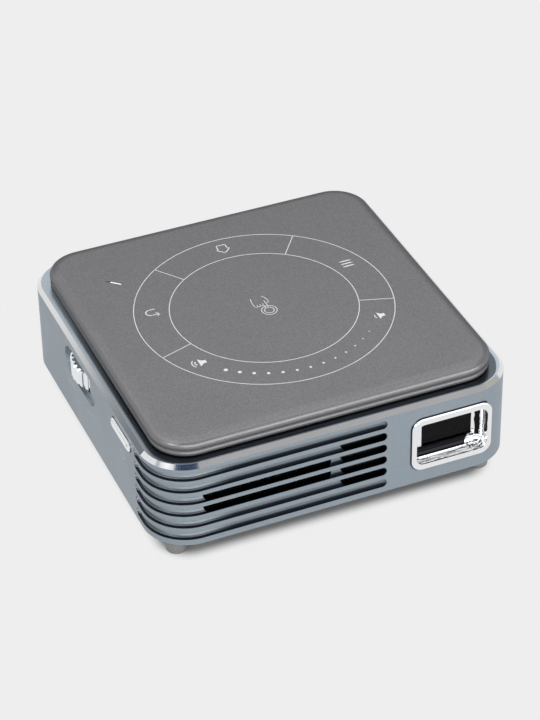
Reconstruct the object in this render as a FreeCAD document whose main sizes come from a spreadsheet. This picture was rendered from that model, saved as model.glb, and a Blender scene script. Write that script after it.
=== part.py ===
import FreeCAD, Part

import math
import operator
import os
from types import SimpleNamespace

import Sketcher
from FreeCAD import Placement, Rotation, Vector
from fcgear import fcgear, involute

# A square pocket projector: an aluminium frame with a touch cover on top, a plastic base on four
# feet, a light engine and lens at the front right, a blower and fins behind the front slots, and
# a thumbwheel on the left side that drives the lens through a pinion, a rack slider and a cam slot.
#
# Millimetres. +X is the viewer's right when facing the lens, +Y points to the back, +Z up. The
# origin is the centre of the footprint, on the surface that the feet stand on. Heights in the
# sheet are counted from the underside of the case, which the feet hold up.

DIMENSIONS = """
Case
body_side             100     length and width of the case
body_corner           12      outside corner radius
body_height           25.04   height of the frame, up to its rim
wall                  2.2     wall of the frame
foot_height           6.4     feet below the case
rim_chamfer           1.1     polished chamfer round the rim
rim_thick             1.84    thickness of the rim
rim_opening           88      opening inside the rim
rim_corner            6       corner radius of that opening
post_x                42.7    corner posts and feet, from the centre
post_y                42.1    corner posts and feet, from the centre
post_radius           4       corner post
post_hole             0.85    screw hole in the post
post_hole_depth       8       depth of that hole above the base
groove_radius         1.25    half-round groove
groove_first          2.9     height of the lowest groove
groove_pitch          3.75    from groove to groove
groove_right          12.6    right end of the grooves on the front
groove_rear           -33.9   rear end of the grooves on the left side
slot_half             1.2     half the height of a through slot
long_slot_left        -37.5   left end of the two long slots
long_slot_right       -2.5    right end of the two long slots
short_slot_left       0.05    left end of the four short slots
scoop_depth           1       depth of the wheel's window recess
scoop_y               6.85    centre of the recess
scoop_length          22.8    length of the recess
scoop_height          8.5     height of the recess
scoop_level           17.5    height of its centre
wheel_clear           0.5     clearance round the wheel in the wall

Cover
plate_side            92.6    touch cover
plate_corner          9.5     its corner radius
plate_neck            0.8     how far the neck under it is set in
plate_neck_height     0.5     dark gap between cover and rim
plate_top             29.8    height of its top face
plate_round           2.4     rounded top edge
plate_wall            1.7     its side wall
plate_skin            1.6     its top skin
lip_outer             87.4    locating lip inside the rim
lip_inner             84.6    locating lip, inside
lip_corner            5.7     its corner radius
lip_level             23.6    its lower edge
board_side            84      touch board
board_corner          4       its corner radius
touch_thick           1       its thickness
light_x               -32.6   centre of the light slit
light_y               26.6    centre of the light slit
light_reach           2.0     half the distance between its end centres
light_radius          0.42    half its width
light_angle           137     its direction in degrees
light_drop            0.1     light guide below the cover's face

Base
base_side             95.2    base plate
base_corner           9.6     its corner radius
base_thick            2.4     its thickness
base_hole             1.1     screw hole
base_sink             2.05    recess for a screw head
base_sink_depth       1.35    depth of that recess
screw_head            1.9     head radius of a base screw
screw_head_height     1.3     height of that head
screw_shank           0.84    its shank
screw_reach           8.6     height of its tip
foot_radius           2.83    foot
foot_round            0.9     rounded lower edge of a foot
bush_radius           5       tripod bush through the base
bush_flange           6.5     its flange
bush_flange_thick     1       thickness of the flange
bush_thread           2.55    wall radius of its 1/4 inch thread
bush_depth            6.5     depth of the thread
bush_height           7.5     height of the bush
intake_length         20      longest air slot in the base
intake_width          2       width of an air slot
intake_pitch          4       from air slot to air slot
stand_radius          2.2     posts that carry the main board
stand_hole            0.85    hole in such a post

Lens
lens_x                30.8    lens axis, sideways
lens_level            12.2    lens axis, height
bezel_width           22.75   chrome frame round the lens
bezel_height          16.3    chrome frame
bezel_corner          3.2     its corner radius
bezel_proud           0.6     how far it stands out of the front
bezel_seat            0.8     how deep it is let into the front
bezel_edge            0.35    its rounded front edge
recess_width          20.15   recess inside the frame
recess_height         12.7    recess inside the frame
recess_corner         2.2     its corner radius
recess_depth          3       its depth behind the front of the case
recess_round          2.1     hollow round at the back of the recess
tunnel_wall           0.6     wall of the recess
bezel_back            0.35    thickness of the back of the recess
pupil_width           14.2    sharp-cornered opening in the back
pupil_height          6.65    sharp-cornered opening in the back
bezel_gap             0.12    gap between recess wall and case
glass_margin          1.6     glass beyond the opening
glass_thick           1       glass behind the opening
barrel_radius         7.5     lens barrel
barrel_front          -43.6   front of the barrel
barrel_length         18      its length
barrel_bore           5.4     light path through it
barrel_seat           6.6     seat of the front lens
barrel_rear_seat      6.0     seat of the rear lens
seat_depth            3       depth of both seats
lens_slack            0.05    radial gap round each lens
lens_dome             13      dome radius of the lenses
holder_slack          0.05    radial gap round the barrel
holder_radius         8.4     tube that guides the barrel
holder_front          -37.5   its front end
flange_front          -21     front of the holder's flange
flange_half           9.8     half the flange's width
flange_half_height    8.6     half the flange's height
pin_radius            1       focus pin, guide pins
pin_y                 -33     focus pin
pin_top               23      top of the pins
pin_slack             0.05    radial gap round a pin in a slot
travel                1.0     lens travel each way

Engine
engine_left           8       light engine
engine_right          41      light engine
engine_front          -18.6   light engine
engine_back           -4      light engine
engine_floor          3.4     light engine
engine_top            19.4    light engine, below its cover
engine_wall           1.5     its walls
engine_lid            1       its cover
port_radius           7       opening towards the lens
beam_radius           4.5     openings towards the lamps
lamp_y                -11.3   beam of the left lamp
lamp_x                13.8    beam of the rear lamp
lamp_board            1.2     lamp boards
lamp_half             5.5     half the size of a lamp board
chip_width            12.6    mirror chip
chip_height           9.6     mirror chip
chip_reach            1.3     mirror chip in front of its board
prism_half            5.5     half the prism's width
prism_front           -16.4   prism
prism_back            -6.4    prism
prism_top             17      prism
collimator_radius     4.4     lamp lenses
collimator_thick      2.2     lamp lenses
collimator_dome       6       lamp lenses
mirror_half           5       half the length of the colour mirror
mirror_thick          1       colour mirror
mirror_top            18      colour mirror
sink_front            -2.8    fins behind the mirror chip
sink_back             3.2     fins behind the mirror chip
sink_half             9       half their width
block_left            2       copper block behind the lamps
block_back            0.6     copper block behind the lamps
block_right           19      copper block behind the lamps
block_bottom          8       copper block behind the lamps
pipe_level            16.4    underside of the heat pipe
pipe_thick            2       heat pipe
pipe_width            4.6     heat pipe
pipe_left             -35     heat pipe
pipe_front            -42.5   heat pipe over the fins
pipe_turn             -8      heat pipe's first turn
pipe_end              -1      heat pipe's end over the block
fins_left             -37.4   fins behind the slots
fins_right            -3.2    fins behind the slots
fins_front            -46.8   fins behind the slots
fins_back             -38.4   fins behind the slots
fin_thick             0.6     one fin
fin_count             14      number of fins
fin_plate             0.8     plates above and below them

Blower
blower_x              -22.5   blower axis
blower_y              -19     blower axis
blower_radius         16.4    round part of its housing
blower_chamber        15.3    round part of its air chamber
blower_bottom         4.4     underside of the housing
blower_floor          0.9     its floor
blower_top            14.6    top of the housing, below its cover
blower_lid            0.8     its cover
blower_left           -38.9   straight part of the housing
blower_right          -8      straight part of the housing
blower_front          -37.6   outlet
blower_wall           1.1     its walls
inlet_radius          11      air inlet
inlet_inner           5.8     inner edge of the lower inlet
spoke_half            0.9     half the width of a spoke
leg_radius            2       legs under the housing
tower_radius          2.2     tower that holds the bearing
tower_top             9       its height
bearing_radius        1.5     bearing
axle_radius           0.9     rotor axle
axle_slack            0.03    radial gap in the bearing
rotor_radius          13.2    tips of the blades
hub_radius            7.2     rotor hub
hub_wall              0.8     its wall
rotor_bottom          6.2     rotor
rotor_top             13.2    rotor
blade_count           19      number of blades
blade_thick           0.5     one blade
blade_curve           7.5     radius of a blade's curve
stator_radius         5.4     coils inside the hub
stator_bottom         6       coils inside the hub
stator_top            9.8     coils inside the hub

Boards
board_left            -26     main board
board_right           37      main board
board_front           5       main board
board_back            46      main board
board_level           9.4     main board
board_thick           1.2     main board
stand_inset           2.7     posts in from the board's side and front edges
stand_rear            34      rear posts under the main board
battery_left          -20.5   battery
battery_right         31.5    battery
battery_front         7       battery
battery_back          44.5    battery
battery_top           8.2     battery
battery_round         2.4     its rounded long edges
shield_left           -4      shield over the processor
shield_front          11      shield over the processor
shield_side           22      shield over the processor
shield_height         2.4     shield over the processor
shield_wall           0.3     its sheet
socket_rear           49.7    mouths of the sockets
hdmi_x                -12     video socket
hdmi_width            15      video socket
hdmi_height           5.6     video socket
hdmi_depth            12      video socket
usb_x                 8       data socket
usb_width             13.2    data socket
usb_height            5.8     data socket
usb_depth             14      data socket
power_x               22.5    power socket
power_width           9.1     power socket
power_height          3.4     power socket
power_depth           8       power socket
sheet_metal           0.35    wall of a socket
audio_x               32.6    headphone socket
audio_half            3.1     half its width
audio_collar          2.9     its round collar
audio_bore            1.8     its bore
audio_depth           13      its depth
ir_x                  -24     remote control window
ir_level              14      remote control window
ir_radius             2.4     remote control window
port_gap              0.35    gap round each socket in the rear wall
wall_cut              1       how far an opening is cut past the wall
speaker_left          0.8     speaker
speaker_right         12.8    speaker
speaker_front         -46.8   speaker
speaker_back          -39.4   speaker
speaker_top           19.6    speaker
speaker_dish          1.2     depth of its cone

Focus drive
wheel_radius          12      thumbwheel
wheel_height          5.1     thumbwheel
wheel_level           14.8    underside of the thumbwheel
wheel_y               9.2     its axle
wheel_proud           1       how far it stands out of the case
wheel_edge            0.45    its chamfered edges
flute_count           24      number of flutes
flute_radius          0.6     one flute
flute_in              0.1     flute centres inside the rim
wheel_turn            50      turn each way in degrees
wheel_bore            1.55    bore on the axle
wheel_axle            1.5     axle
axle_foot             6       lower end of the axle
axle_neck_level       22.75   neck that carries the clip
pinion_module         0.5     tooth size
pinion_teeth          12      number of teeth
pinion_flange         4       flange sunk in the wheel
pinion_flange_thick   1       flange sunk in the wheel
pinion_top            22.7    top of the pinion
rack_slack            0.04    extra distance between rack and pinion
tooth_slack           0.06    gap on each side of a tooth
washer_radius         4       washer under the wheel
washer_thick          0.2     washer under the wheel
bracket_radius        4.5     column under the wheel
bracket_foot          2       thickness of its foot
bracket_half          7       half the size of its foot
slider_level          21.4    slider
slider_thick          1.2     slider
rack_left             -44.5   left end of the rack
rack_right            -33.6   right end of the rack
rack_back             1.8     straight back of the rack
post_guide_x          -22     guide post
post_guide_y          1.2     guide post
holder_guide_x        36.2    guide pin on the lens holder
holder_guide_y        -35.2   guide pin on the lens holder
guide_radius          2.2     shoulder under the slider
clip_radius           2.1     retaining clips
clip_thick            0.3     retaining clips

Button
button_y              -25.3   power button
button_level          20.8    power button
button_length         13.4    power button
button_half           1.475   half its height
button_proud          0.6     how far it stands out
button_edge           0.3     its chamfered edge
button_gap            0.2     gap round it in the case
button_flange         0.5     flange behind the wall
button_flange_thick   0.7     flange behind the wall
button_slack          0.05    gap between flange and wall
button_stem           1.6     stem
button_travel         0.5     press
stem_end              -45.5   rear of the stem
plunger_radius        1       switch plunger
plunger_end           -43.95  switch plunger
switch_half           2.2     half the size of the switch
switch_front          -44.9   switch
side_board_outer      -42.6   board that carries the switch
side_board_thick      1.2     board that carries the switch
side_board_half       8.7     half its length
side_board_bottom     12      board that carries the switch
side_board_top        23      board that carries the switch
boss_radius           1.8     bosses on the left wall
boss_reach            6.2     bosses, each side of the button's centre
boss_level            14.2    bosses on the left wall
tiny_hole             0.65    hole for a small screw
tiny_shank            0.64    shank of a small screw
tiny_head             1.5     head of a small screw
tiny_head_height      1       head of a small screw
tiny_reach            3.6     shank of a small screw
"""


class Size:
    """A length kept twice: its value, and the sheet expression that gives it."""

    def __init__(self, value, text):
        self.value = value
        self.text = text

    def __add__(self, other):
        return joined(self, operator.add, "+", other)

    def __radd__(self, other):
        return joined(other, operator.add, "+", self)

    def __sub__(self, other):
        return joined(self, operator.sub, "-", other)

    def __rsub__(self, other):
        return joined(other, operator.sub, "-", self)

    def __mul__(self, other):
        return joined(self, operator.mul, "*", other)

    def __rmul__(self, other):
        return joined(other, operator.mul, "*", self)

    def __truediv__(self, other):
        return joined(self, operator.truediv, "/", other)

    def __neg__(self):
        return 0 - self


def as_size(number):
    """A plain number as a Size, so that every length can be bound alike."""
    if isinstance(number, Size):
        return number
    return Size(float(number), f"({float(number)!r})")


def joined(left, operation, sign, right):
    """The Size that an arithmetic sign makes of two lengths."""
    left = as_size(left)
    right = as_size(right)
    return Size(operation(left.value, right.value), f"({left.text} {sign} {right.text})")


def fill_sheet(sheet):
    """Put every named dimension in the sheet, and return the names as Sizes."""
    sizes = {}
    row = 0
    for line in DIMENSIONS.strip().splitlines():
        row += 1
        words = line.split(None, 2)
        if len(words) < 2 or words[0][0].isupper():
            sheet.set(f"A{row}", line)
            continue
        alias, number, note = words
        sheet.set(f"A{row}", alias)
        sheet.set(f"B{row}", number)
        sheet.set(f"C{row}", note)
        sheet.setAlias(f"B{row}", alias)
        sizes[alias] = Size(float(number), f"sizes.{alias}")
    return SimpleNamespace(**sizes)


doc = FreeCAD.newDocument("pocket_projector")
d = fill_sheet(doc.addObject("Spreadsheet::Sheet", "sizes"))
doc.recompute()


# Frame of reference -----------------------------------------------------------------------------

def up(height):
    """A height above the underside of the case, counted from the floor."""
    return d.foot_height + height


def about(centre, reach):
    """A span that reaches as far to each side of its centre."""
    return (centre - reach, centre + reach)


HALF = d.body_side / 2
INNER = HALF - d.wall
LENS_Z = up(d.lens_level)
BUTTON_Z = up(d.button_level)
BOARD_TOP = up(d.board_level + d.board_thick)
RIM_UNDER = up(d.body_height - d.rim_thick)
WHEEL_X = d.wheel_radius - HALF - d.wheel_proud
WHEEL_Z = up(d.wheel_level)
PITCH_RADIUS = d.pinion_module * d.pinion_teeth / 2
TOOTH_PITCH = d.pinion_module * math.pi
CORNERS = [(x, y) for x in (-d.post_x, d.post_x) for y in (-d.post_y, d.post_y)]


# Sketches ---------------------------------------------------------------------------------------

AXIS_PLANES = {"x": "YZ_Plane", "y": "XZ_Plane", "z": "XY_Plane"}
ROOT_POINT = -1
START, END, CENTRE = 1, 2, 3


def flat(x, y):
    """A point of a sketch."""
    return Vector(as_size(x).value, as_size(y).value, 0)


def set_length(sketch, length, *constraint):
    """Add a dimension and bind it to the sheet."""
    length = as_size(length)
    index = sketch.addConstraint(Sketcher.Constraint(*constraint, length.value))
    sketch.setExpression(f"Constraints[{index}]", length.text)


def set_point(sketch, geometry, vertex, x=None, y=None):
    """Fix a point of a sketch by its distances from the sketch's origin."""
    if x is not None:
        set_length(sketch, x, "DistanceX", ROOT_POINT, 1, geometry, vertex)
    if y is not None:
        set_length(sketch, y, "DistanceY", ROOT_POINT, 1, geometry, vertex)


def circle(sketch, x, y, radius):
    """A full circle."""
    round_edge = Part.Circle(flat(x, y), Vector(0, 0, 1), as_size(radius).value)
    index = sketch.addGeometry(round_edge)
    set_length(sketch, radius, "Radius", index)
    set_point(sketch, index, CENTRE, x, y)


def circles(sketch, points, radius):
    """The same circle at several points."""
    for x, y in points:
        circle(sketch, x, y, radius)


def polygon(sketch, points):
    """Straight sides through the given points, closed."""
    first = sketch.GeometryCount
    ends = points[1:] + points[:1]
    for start, end in zip(points, ends):
        sketch.addGeometry(Part.LineSegment(flat(*start), flat(*end)))
    for step, (x, y) in enumerate(points):
        before = first + (step - 1) % len(points)
        sketch.addConstraint(Sketcher.Constraint("Coincident", before, END, first + step, START))
        set_point(sketch, first + step, START, x, y)


def rectangle(sketch, x, y):
    """A rectangle over two spans."""
    polygon(sketch, [(x[0], y[0]), (x[1], y[0]), (x[1], y[1]), (x[0], y[1])])


def rectangles(sketch, spans):
    """Several rectangles, each given by its two spans."""
    for x, y in spans:
        rectangle(sketch, x, y)


def arc(x, y, radius, start, end):
    """An arc of a circle, its ends as angles in quarter turns."""
    whole = Part.Circle(flat(x, y), Vector(0, 0, 1), as_size(radius).value)
    return Part.ArcOfCircle(whole, start * math.pi / 2, end * math.pi / 2)


def rounded(sketch, x, y, radius):
    """A rectangle over two spans, with round corners."""
    left, right = as_size(x[0]), as_size(x[1])
    low, high = as_size(y[0]), as_size(y[1])
    first = sketch.GeometryCount
    sketch.addGeometry([
        Part.LineSegment(flat(left + radius, low), flat(right - radius, low)),
        arc(right - radius, low + radius, radius, -1, 0),
        Part.LineSegment(flat(right, low + radius), flat(right, high - radius)),
        arc(right - radius, high - radius, radius, 0, 1),
        Part.LineSegment(flat(right - radius, high), flat(left + radius, high)),
        arc(left + radius, high - radius, radius, 1, 2),
        Part.LineSegment(flat(left, high - radius), flat(left, low + radius)),
        arc(left + radius, low + radius, radius, 2, 3),
    ])
    for step in range(8):
        after = first + (step + 1) % 8
        sketch.addConstraint(Sketcher.Constraint("Tangent", first + step, END, after, START))
    for step in (0, 4):
        sketch.addConstraint(Sketcher.Constraint("Horizontal", first + step))
        sketch.addConstraint(Sketcher.Constraint("Vertical", first + step + 2))
    for step in (3, 5, 7):
        sketch.addConstraint(Sketcher.Constraint("Equal", first + 1, first + step))
    set_length(sketch, radius, "Radius", first + 1)
    set_point(sketch, first, START, y=low)
    set_point(sketch, first + 2, START, x=right)
    set_point(sketch, first + 4, START, y=high)
    set_point(sketch, first + 6, START, x=left)


def ring(sketch, outer, inner):
    """Two rounded squares about the origin, each given by its half side and corner radius."""
    for half, radius in (outer, inner):
        rounded(sketch, (-half, half), (-half, half), radius)


def slot(sketch, start, end, radius):
    """A slot with round ends about two centres."""
    along = (flat(*end) - flat(*start)).normalize()
    side = Vector(along.y, -along.x, 0) * as_size(radius).value
    turn = math.atan2(side.y, side.x) / (math.pi / 2)
    first = sketch.GeometryCount
    sketch.addGeometry([
        Part.LineSegment(flat(*start) + side, flat(*end) + side),
        arc(end[0], end[1], radius, turn, turn + 2),
        Part.LineSegment(flat(*end) - side, flat(*start) - side),
        arc(start[0], start[1], radius, turn + 2, turn + 4),
    ])
    for step in range(4):
        after = first + (step + 1) % 4
        sketch.addConstraint(Sketcher.Constraint("Tangent", first + step, END, after, START))
    sketch.addConstraint(Sketcher.Constraint("Equal", first + 1, first + 3))
    set_length(sketch, radius, "Radius", first + 1)
    set_point(sketch, first + 1, CENTRE, end[0], end[1])
    set_point(sketch, first + 3, CENTRE, start[0], start[1])


def stadium(sketch, x, y):
    """A slot that fills a span sideways and a shorter one upwards."""
    radius = (as_size(y[1]) - y[0]) / 2
    middle = y[0] + radius
    slot(sketch, (x[0] + radius, middle), (x[1] - radius, middle), radius)


# Features ---------------------------------------------------------------------------------------

def new_body(label, x=None, y=None, z=None):
    """A PartDesign body, set at a place of its own if one is given."""
    body = doc.addObject("PartDesign::Body", label)
    for axis, length in zip("xyz", (x, y, z)):
        if length is not None:
            body.setExpression(f"Placement.Base.{axis}", as_size(length).text)
    return body


def origin_feature(body, role):
    """A plane or axis of the body's own origin."""
    return next(item for item in body.Origin.OriginFeatures if item.Role == role)


def new_sketch(body, axis, level, shape, *sizes):
    """A sketch square to an axis, at a level along it, drawn by one of the functions above."""
    sketch = body.newObject("Sketcher::SketchObject", "Sketch")
    sketch.AttachmentSupport = [(origin_feature(body, AXIS_PLANES[axis]), "")]
    sketch.MapMode = "FlatFace"
    away = as_size(level)
    if axis == "y":
        away = -away
    sketch.setExpression("AttachmentOffset.Base.z", away.text)
    shape(sketch, *sizes)
    return sketch


def pad(body, axis, span, shape, *sizes):
    """Add a prism over a span along an axis. The front plane's normal points to -Y."""
    low, high = span
    level = high if axis == "y" else low
    feature = body.newObject("PartDesign::Pad", "Pad")
    feature.Profile = new_sketch(body, axis, level, shape, *sizes)
    feature.setExpression("Length", (as_size(high) - low).text)
    body.Tip = feature
    return feature


def pocket(body, axis, span, shape, *sizes):
    """Cut a prism over a span along an axis, and make sure that it takes material away."""
    doc.recompute()
    before = body.Shape.Volume
    low, high = span
    level = low if axis == "y" else high
    feature = body.newObject("PartDesign::Pocket", "Pocket")
    feature.Profile = new_sketch(body, axis, level, shape, *sizes)
    feature.setExpression("Length", (as_size(high) - low).text)
    body.Tip = feature
    doc.recompute()
    if not body.Shape.Volume < before:
        raise RuntimeError(f"a pocket of {body.Label} cuts nothing")
    return feature


def edges_where(body, test):
    """Names of the edges of a body's last feature whose middle point and box pass a test."""
    doc.recompute()
    names = []
    for number, edge in enumerate(body.Tip.Shape.Edges, 1):
        if test(edge.BoundBox):
            names.append(f"Edge{number}")
    if not names:
        raise RuntimeError(f"no edge of {body.Label} to work on")
    return names


def at(value, target):
    """Whether a coordinate of an edge lies at a length."""
    return abs(value - as_size(target).value) < 1e-4


def ease(body, kind, size, test):
    """A Fillet or Chamfer on the edges that pass a test."""
    names = edges_where(body, test)
    base = body.Tip
    feature = body.newObject(f"PartDesign::{kind}", kind)
    feature.Base = (base, names)
    feature.setExpression("Radius" if kind == "Fillet" else "Size", as_size(size).text)
    body.Tip = feature
    doc.recompute()
    return feature


def round_turn(body, feature, count):
    """Repeat a feature about the body's own vertical axis."""
    pattern = body.newObject("PartDesign::PolarPattern", "PolarPattern")
    pattern.Originals = [feature]
    pattern.Axis = (origin_feature(body, "Z_Axis"), [""])
    pattern.Angle = 360
    pattern.Occurrences = int(as_size(count).value)
    body.Tip = pattern
    return pattern


def in_a_row(body, feature, axis, reach, count):
    """Repeat a feature along an axis, the last one a given distance from the first."""
    pattern = body.newObject("PartDesign::LinearPattern", "LinearPattern")
    pattern.Originals = [feature]
    pattern.Direction = (origin_feature(body, f"{axis.upper()}_Axis"), [""])
    pattern.setExpression("Length", as_size(reach).text)
    pattern.Occurrences = int(as_size(count).value)
    body.Tip = pattern
    return pattern


# Primitives and booleans ------------------------------------------------------------------------

TURNS = {"x": Rotation(Vector(0, 1, 0), 90), "y": Rotation(Vector(1, 0, 0), -90), "z": Rotation()}


def box(label, x, y, z):
    """A block over three spans."""
    block = doc.addObject("Part::Box", label)
    for side, axis, (low, high) in zip(("Length", "Width", "Height"), "xyz", (x, y, z)):
        block.setExpression(side, (as_size(high) - low).text)
        block.setExpression(f"Placement.Base.{axis}", as_size(low).text)
    return block


def cylinder(label, axis, centre, radius, span):
    """A round bar along an axis, its centre given in the other two in X, Y, Z order."""
    bar = doc.addObject("Part::Cylinder", label)
    bar.Placement = Placement(Vector(), TURNS[axis])
    bar.setExpression("Radius", as_size(radius).text)
    bar.setExpression("Height", (as_size(span[1]) - span[0]).text)
    place = list(centre)
    place.insert("xyz".index(axis), span[0])
    for name, length in zip("xyz", place):
        bar.setExpression(f"Placement.Base.{name}", as_size(length).text)
    return bar


def ball(label, x, y, z, radius):
    """A sphere."""
    sphere = doc.addObject("Part::Sphere", label)
    sphere.setExpression("Radius", as_size(radius).text)
    for name, length in zip("xyz", (x, y, z)):
        sphere.setExpression(f"Placement.Base.{name}", as_size(length).text)
    return sphere


def fuse(label, *pieces):
    """One solid, or one group of solids, from several."""
    result = doc.addObject("Part::MultiFuse", label)
    result.Shapes = list(pieces)
    return result


def group(label, *pieces):
    """Separate solids that share one node."""
    result = doc.addObject("Part::Compound", label)
    result.Links = list(pieces)
    return result


def cut(label, base, *tools):
    """A base with tools taken away."""
    result = doc.addObject("Part::Cut", label)
    result.Base = base
    result.Tool = tools[0] if len(tools) == 1 else fuse(f"{label}_tools", *tools)
    return result


def washer(label, axis, centre, outer, inner, span):
    """A flat ring."""
    return cut(label, cylinder(f"{label}_disc", axis, centre, outer, span),
               cylinder(f"{label}_bore", axis, centre, inner, span))


def tiny_screw(label, axis, centre, seat, tip):
    """A small screw whose head lies on its seat, away from its tip."""
    way = 1 if as_size(seat).value > as_size(tip).value else -1
    head = sorted((as_size(seat), seat + way * d.tiny_head_height), key=lambda size: size.value)
    shank = sorted((as_size(seat), as_size(tip)), key=lambda size: size.value)
    return fuse(label, cylinder(f"{label}_head", axis, centre, d.tiny_head, head),
                cylinder(f"{label}_shank", axis, centre, d.tiny_shank, shank))


# Case -------------------------------------------------------------------------------------------

def groove_cutter(level):
    """A ball-ended cutter that runs along the front, round the corner and along the left side."""
    turn = d.body_corner - HALF
    right = d.groove_right - d.groove_radius
    rear = d.groove_rear - d.groove_radius
    corner = doc.addObject("Part::Torus", "groove_corner")
    corner.setExpression("Radius1", d.body_corner.text)
    corner.setExpression("Radius2", d.groove_radius.text)
    corner.Angle3 = 90
    corner.Placement = Placement(Vector(), Rotation(Vector(0, 0, 1), 180))
    for name, length in zip("xyz", (turn, turn, level)):
        corner.setExpression(f"Placement.Base.{name}", length.text)
    return [
        corner,
        cylinder("groove_front", "x", (-HALF, level), d.groove_radius, (turn, right)),
        cylinder("groove_side", "y", (-HALF, level), d.groove_radius, (turn, rear)),
        ball("groove_right_end", right, -HALF, level, d.groove_radius),
        ball("groove_rear_end", -HALF, rear, level, d.groove_radius),
    ]


def slot_cutter(name, left, right, level):
    """A cutter for one through slot in the front wall, inside a groove."""
    body = new_body(name)
    pad(body, "y", (-HALF - d.wall, -INNER + d.wall_cut), stadium, (left, right),
        about(level, d.slot_half))
    return body


def groove_level(number):
    """Height of a groove, the lowest being number 0."""
    return up(d.groove_first + number * d.groove_pitch)


def make_shell():
    """The aluminium frame: tube, rim, posts, bosses, openings, grooves and slots."""
    blank = new_body("shell_blank")
    outside = (-HALF, HALF)
    inside = (-INNER, INNER)
    top = up(d.body_height)
    pad(blank, "z", (up(0), top), rounded, outside, outside, d.body_corner)
    ease(blank, "Chamfer", d.rim_chamfer, lambda edge: at(edge.ZMin, top))
    pocket(blank, "z", (up(0), RIM_UNDER), rounded, inside, inside, d.body_corner - d.wall)
    opening = about(as_size(0), d.rim_opening / 2)
    pocket(blank, "z", (RIM_UNDER, top), rounded, opening, opening, d.rim_corner)
    pad(blank, "z", (up(d.base_thick), RIM_UNDER), circles, CORNERS, d.post_radius)
    pocket(blank, "z", (up(d.base_thick), up(d.base_thick + d.post_hole_depth)), circles,
           CORNERS, d.post_hole)
    wall_pass = (-HALF, -INNER + d.wall_cut)
    scoop = about(d.scoop_y, d.scoop_length / 2)
    pocket(blank, "x", (-HALF, d.scoop_depth - HALF), stadium, scoop,
           about(up(d.scoop_level), d.scoop_height / 2))
    pocket(blank, "z", (WHEEL_Z - d.wheel_clear, WHEEL_Z + d.wheel_height + d.wheel_clear), circle,
           WHEEL_X, d.wheel_y, d.wheel_radius + d.wheel_clear)
    pocket(blank, "x", wall_pass, stadium,
           about(d.button_y, d.button_length / 2 + d.button_gap),
           about(BUTTON_Z, d.button_half + d.button_gap))
    pocket(blank, "y", (-HALF, d.bezel_seat - HALF), rounded, about(d.lens_x, d.bezel_width / 2),
           about(LENS_Z, d.bezel_height / 2), d.bezel_corner)
    tunnel_x = d.recess_width / 2 + d.tunnel_wall + d.bezel_gap
    tunnel_z = d.recess_height / 2 + d.tunnel_wall + d.bezel_gap
    pocket(blank, "y", wall_pass, rounded, about(d.lens_x, tunnel_x), about(LENS_Z, tunnel_z),
           d.recess_corner + d.tunnel_wall + d.bezel_gap)
    rear_pass = (INNER - d.wall_cut, HALF)
    for x, width, height in SOCKETS:
        pocket(blank, "y", rear_pass, rounded, about(x, width / 2 + d.port_gap),
               (BOARD_TOP - d.port_gap, BOARD_TOP + height + d.port_gap), d.port_gap * 2)
    pocket(blank, "y", rear_pass, circle, d.audio_x, BOARD_TOP + d.audio_half,
           d.audio_collar + d.port_gap)
    pocket(blank, "y", rear_pass, circle, d.ir_x, up(d.ir_level), d.ir_radius)
    bosses = [(y, up(d.boss_level)) for y in about(d.button_y, d.boss_reach)]
    pad(blank, "x", (-INNER - d.button_gap, d.side_board_outer), circles, bosses, d.boss_radius)
    pocket(blank, "x", (-INNER, d.side_board_outer), circles, bosses, d.tiny_hole)

    cutters = []
    for number in range(6):
        cutters += groove_cutter(groove_level(number))
    for number in (2, 3):
        cutters.append(slot_cutter("long_slot", d.long_slot_left, d.long_slot_right,
                                   groove_level(number)))
    for number in (1, 2, 3, 4):
        cutters.append(slot_cutter("short_slot", d.short_slot_left,
                                   d.groove_right - d.light_drop / 2, groove_level(number)))
    return cut("body_shell", blank, *cutters)


def make_top_plate():
    """The touch cover: a shallow tray with a rounded edge, a neck and a locating lip."""
    body = new_body("top_plate")
    outer = d.plate_side / 2
    neck = outer - d.plate_neck
    seat = up(d.body_height)
    shoulder = seat + d.plate_neck_height
    top = up(d.plate_top)
    under = top - d.plate_skin
    pad(body, "z", (seat, shoulder), rounded, (-neck, neck), (-neck, neck),
        d.plate_corner - d.plate_neck)
    pad(body, "z", (shoulder, top), rounded, (-outer, outer), (-outer, outer), d.plate_corner)
    ease(body, "Fillet", d.plate_round, lambda edge: at(edge.ZMin, top))
    inner = outer - d.plate_wall
    pocket(body, "z", (seat, under), rounded, (-inner, inner), (-inner, inner),
           d.plate_corner - d.plate_wall)
    lip = d.lip_outer / 2
    bore = d.lip_inner / 2
    pad(body, "z", (up(d.lip_level), under), ring, (lip, d.lip_corner),
        (bore, d.lip_corner - lip + bore))
    slit = pocket(body, "z", (under, top), slot, (-d.light_reach, 0), (d.light_reach, 0),
                  d.light_radius)
    turn_slit(slit.Profile[0])
    doc.recompute()
    return body


def turn_slit(sketch):
    """Turn a sketch to the light slit's direction, at its place on the cover."""
    level = sketch.AttachmentOffset.Base.z
    sketch.AttachmentOffset = Placement(Vector(d.light_x.value, d.light_y.value, level),
                                        Rotation(Vector(0, 0, 1), d.light_angle.value))
    sketch.setExpression("AttachmentOffset.Base.x", d.light_x.text)
    sketch.setExpression("AttachmentOffset.Base.y", d.light_y.text)


def make_status_light():
    """The light guide that fills the slit."""
    body = new_body("status_light")
    top = up(d.plate_top)
    guide = pad(body, "z", (top - d.plate_skin, top - d.light_drop), slot, (-d.light_reach, 0),
                (d.light_reach, 0), d.light_radius)
    turn_slit(guide.Profile[0])
    return body


def make_touch_board():
    """The sensing board glued under the cover."""
    body = new_body("touch_board")
    top = up(d.plate_top - d.plate_skin)
    half = d.board_side / 2
    pad(body, "z", (top - d.touch_thick, top), rounded, (-half, half), (-half, half),
        d.board_corner)
    return body


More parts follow.
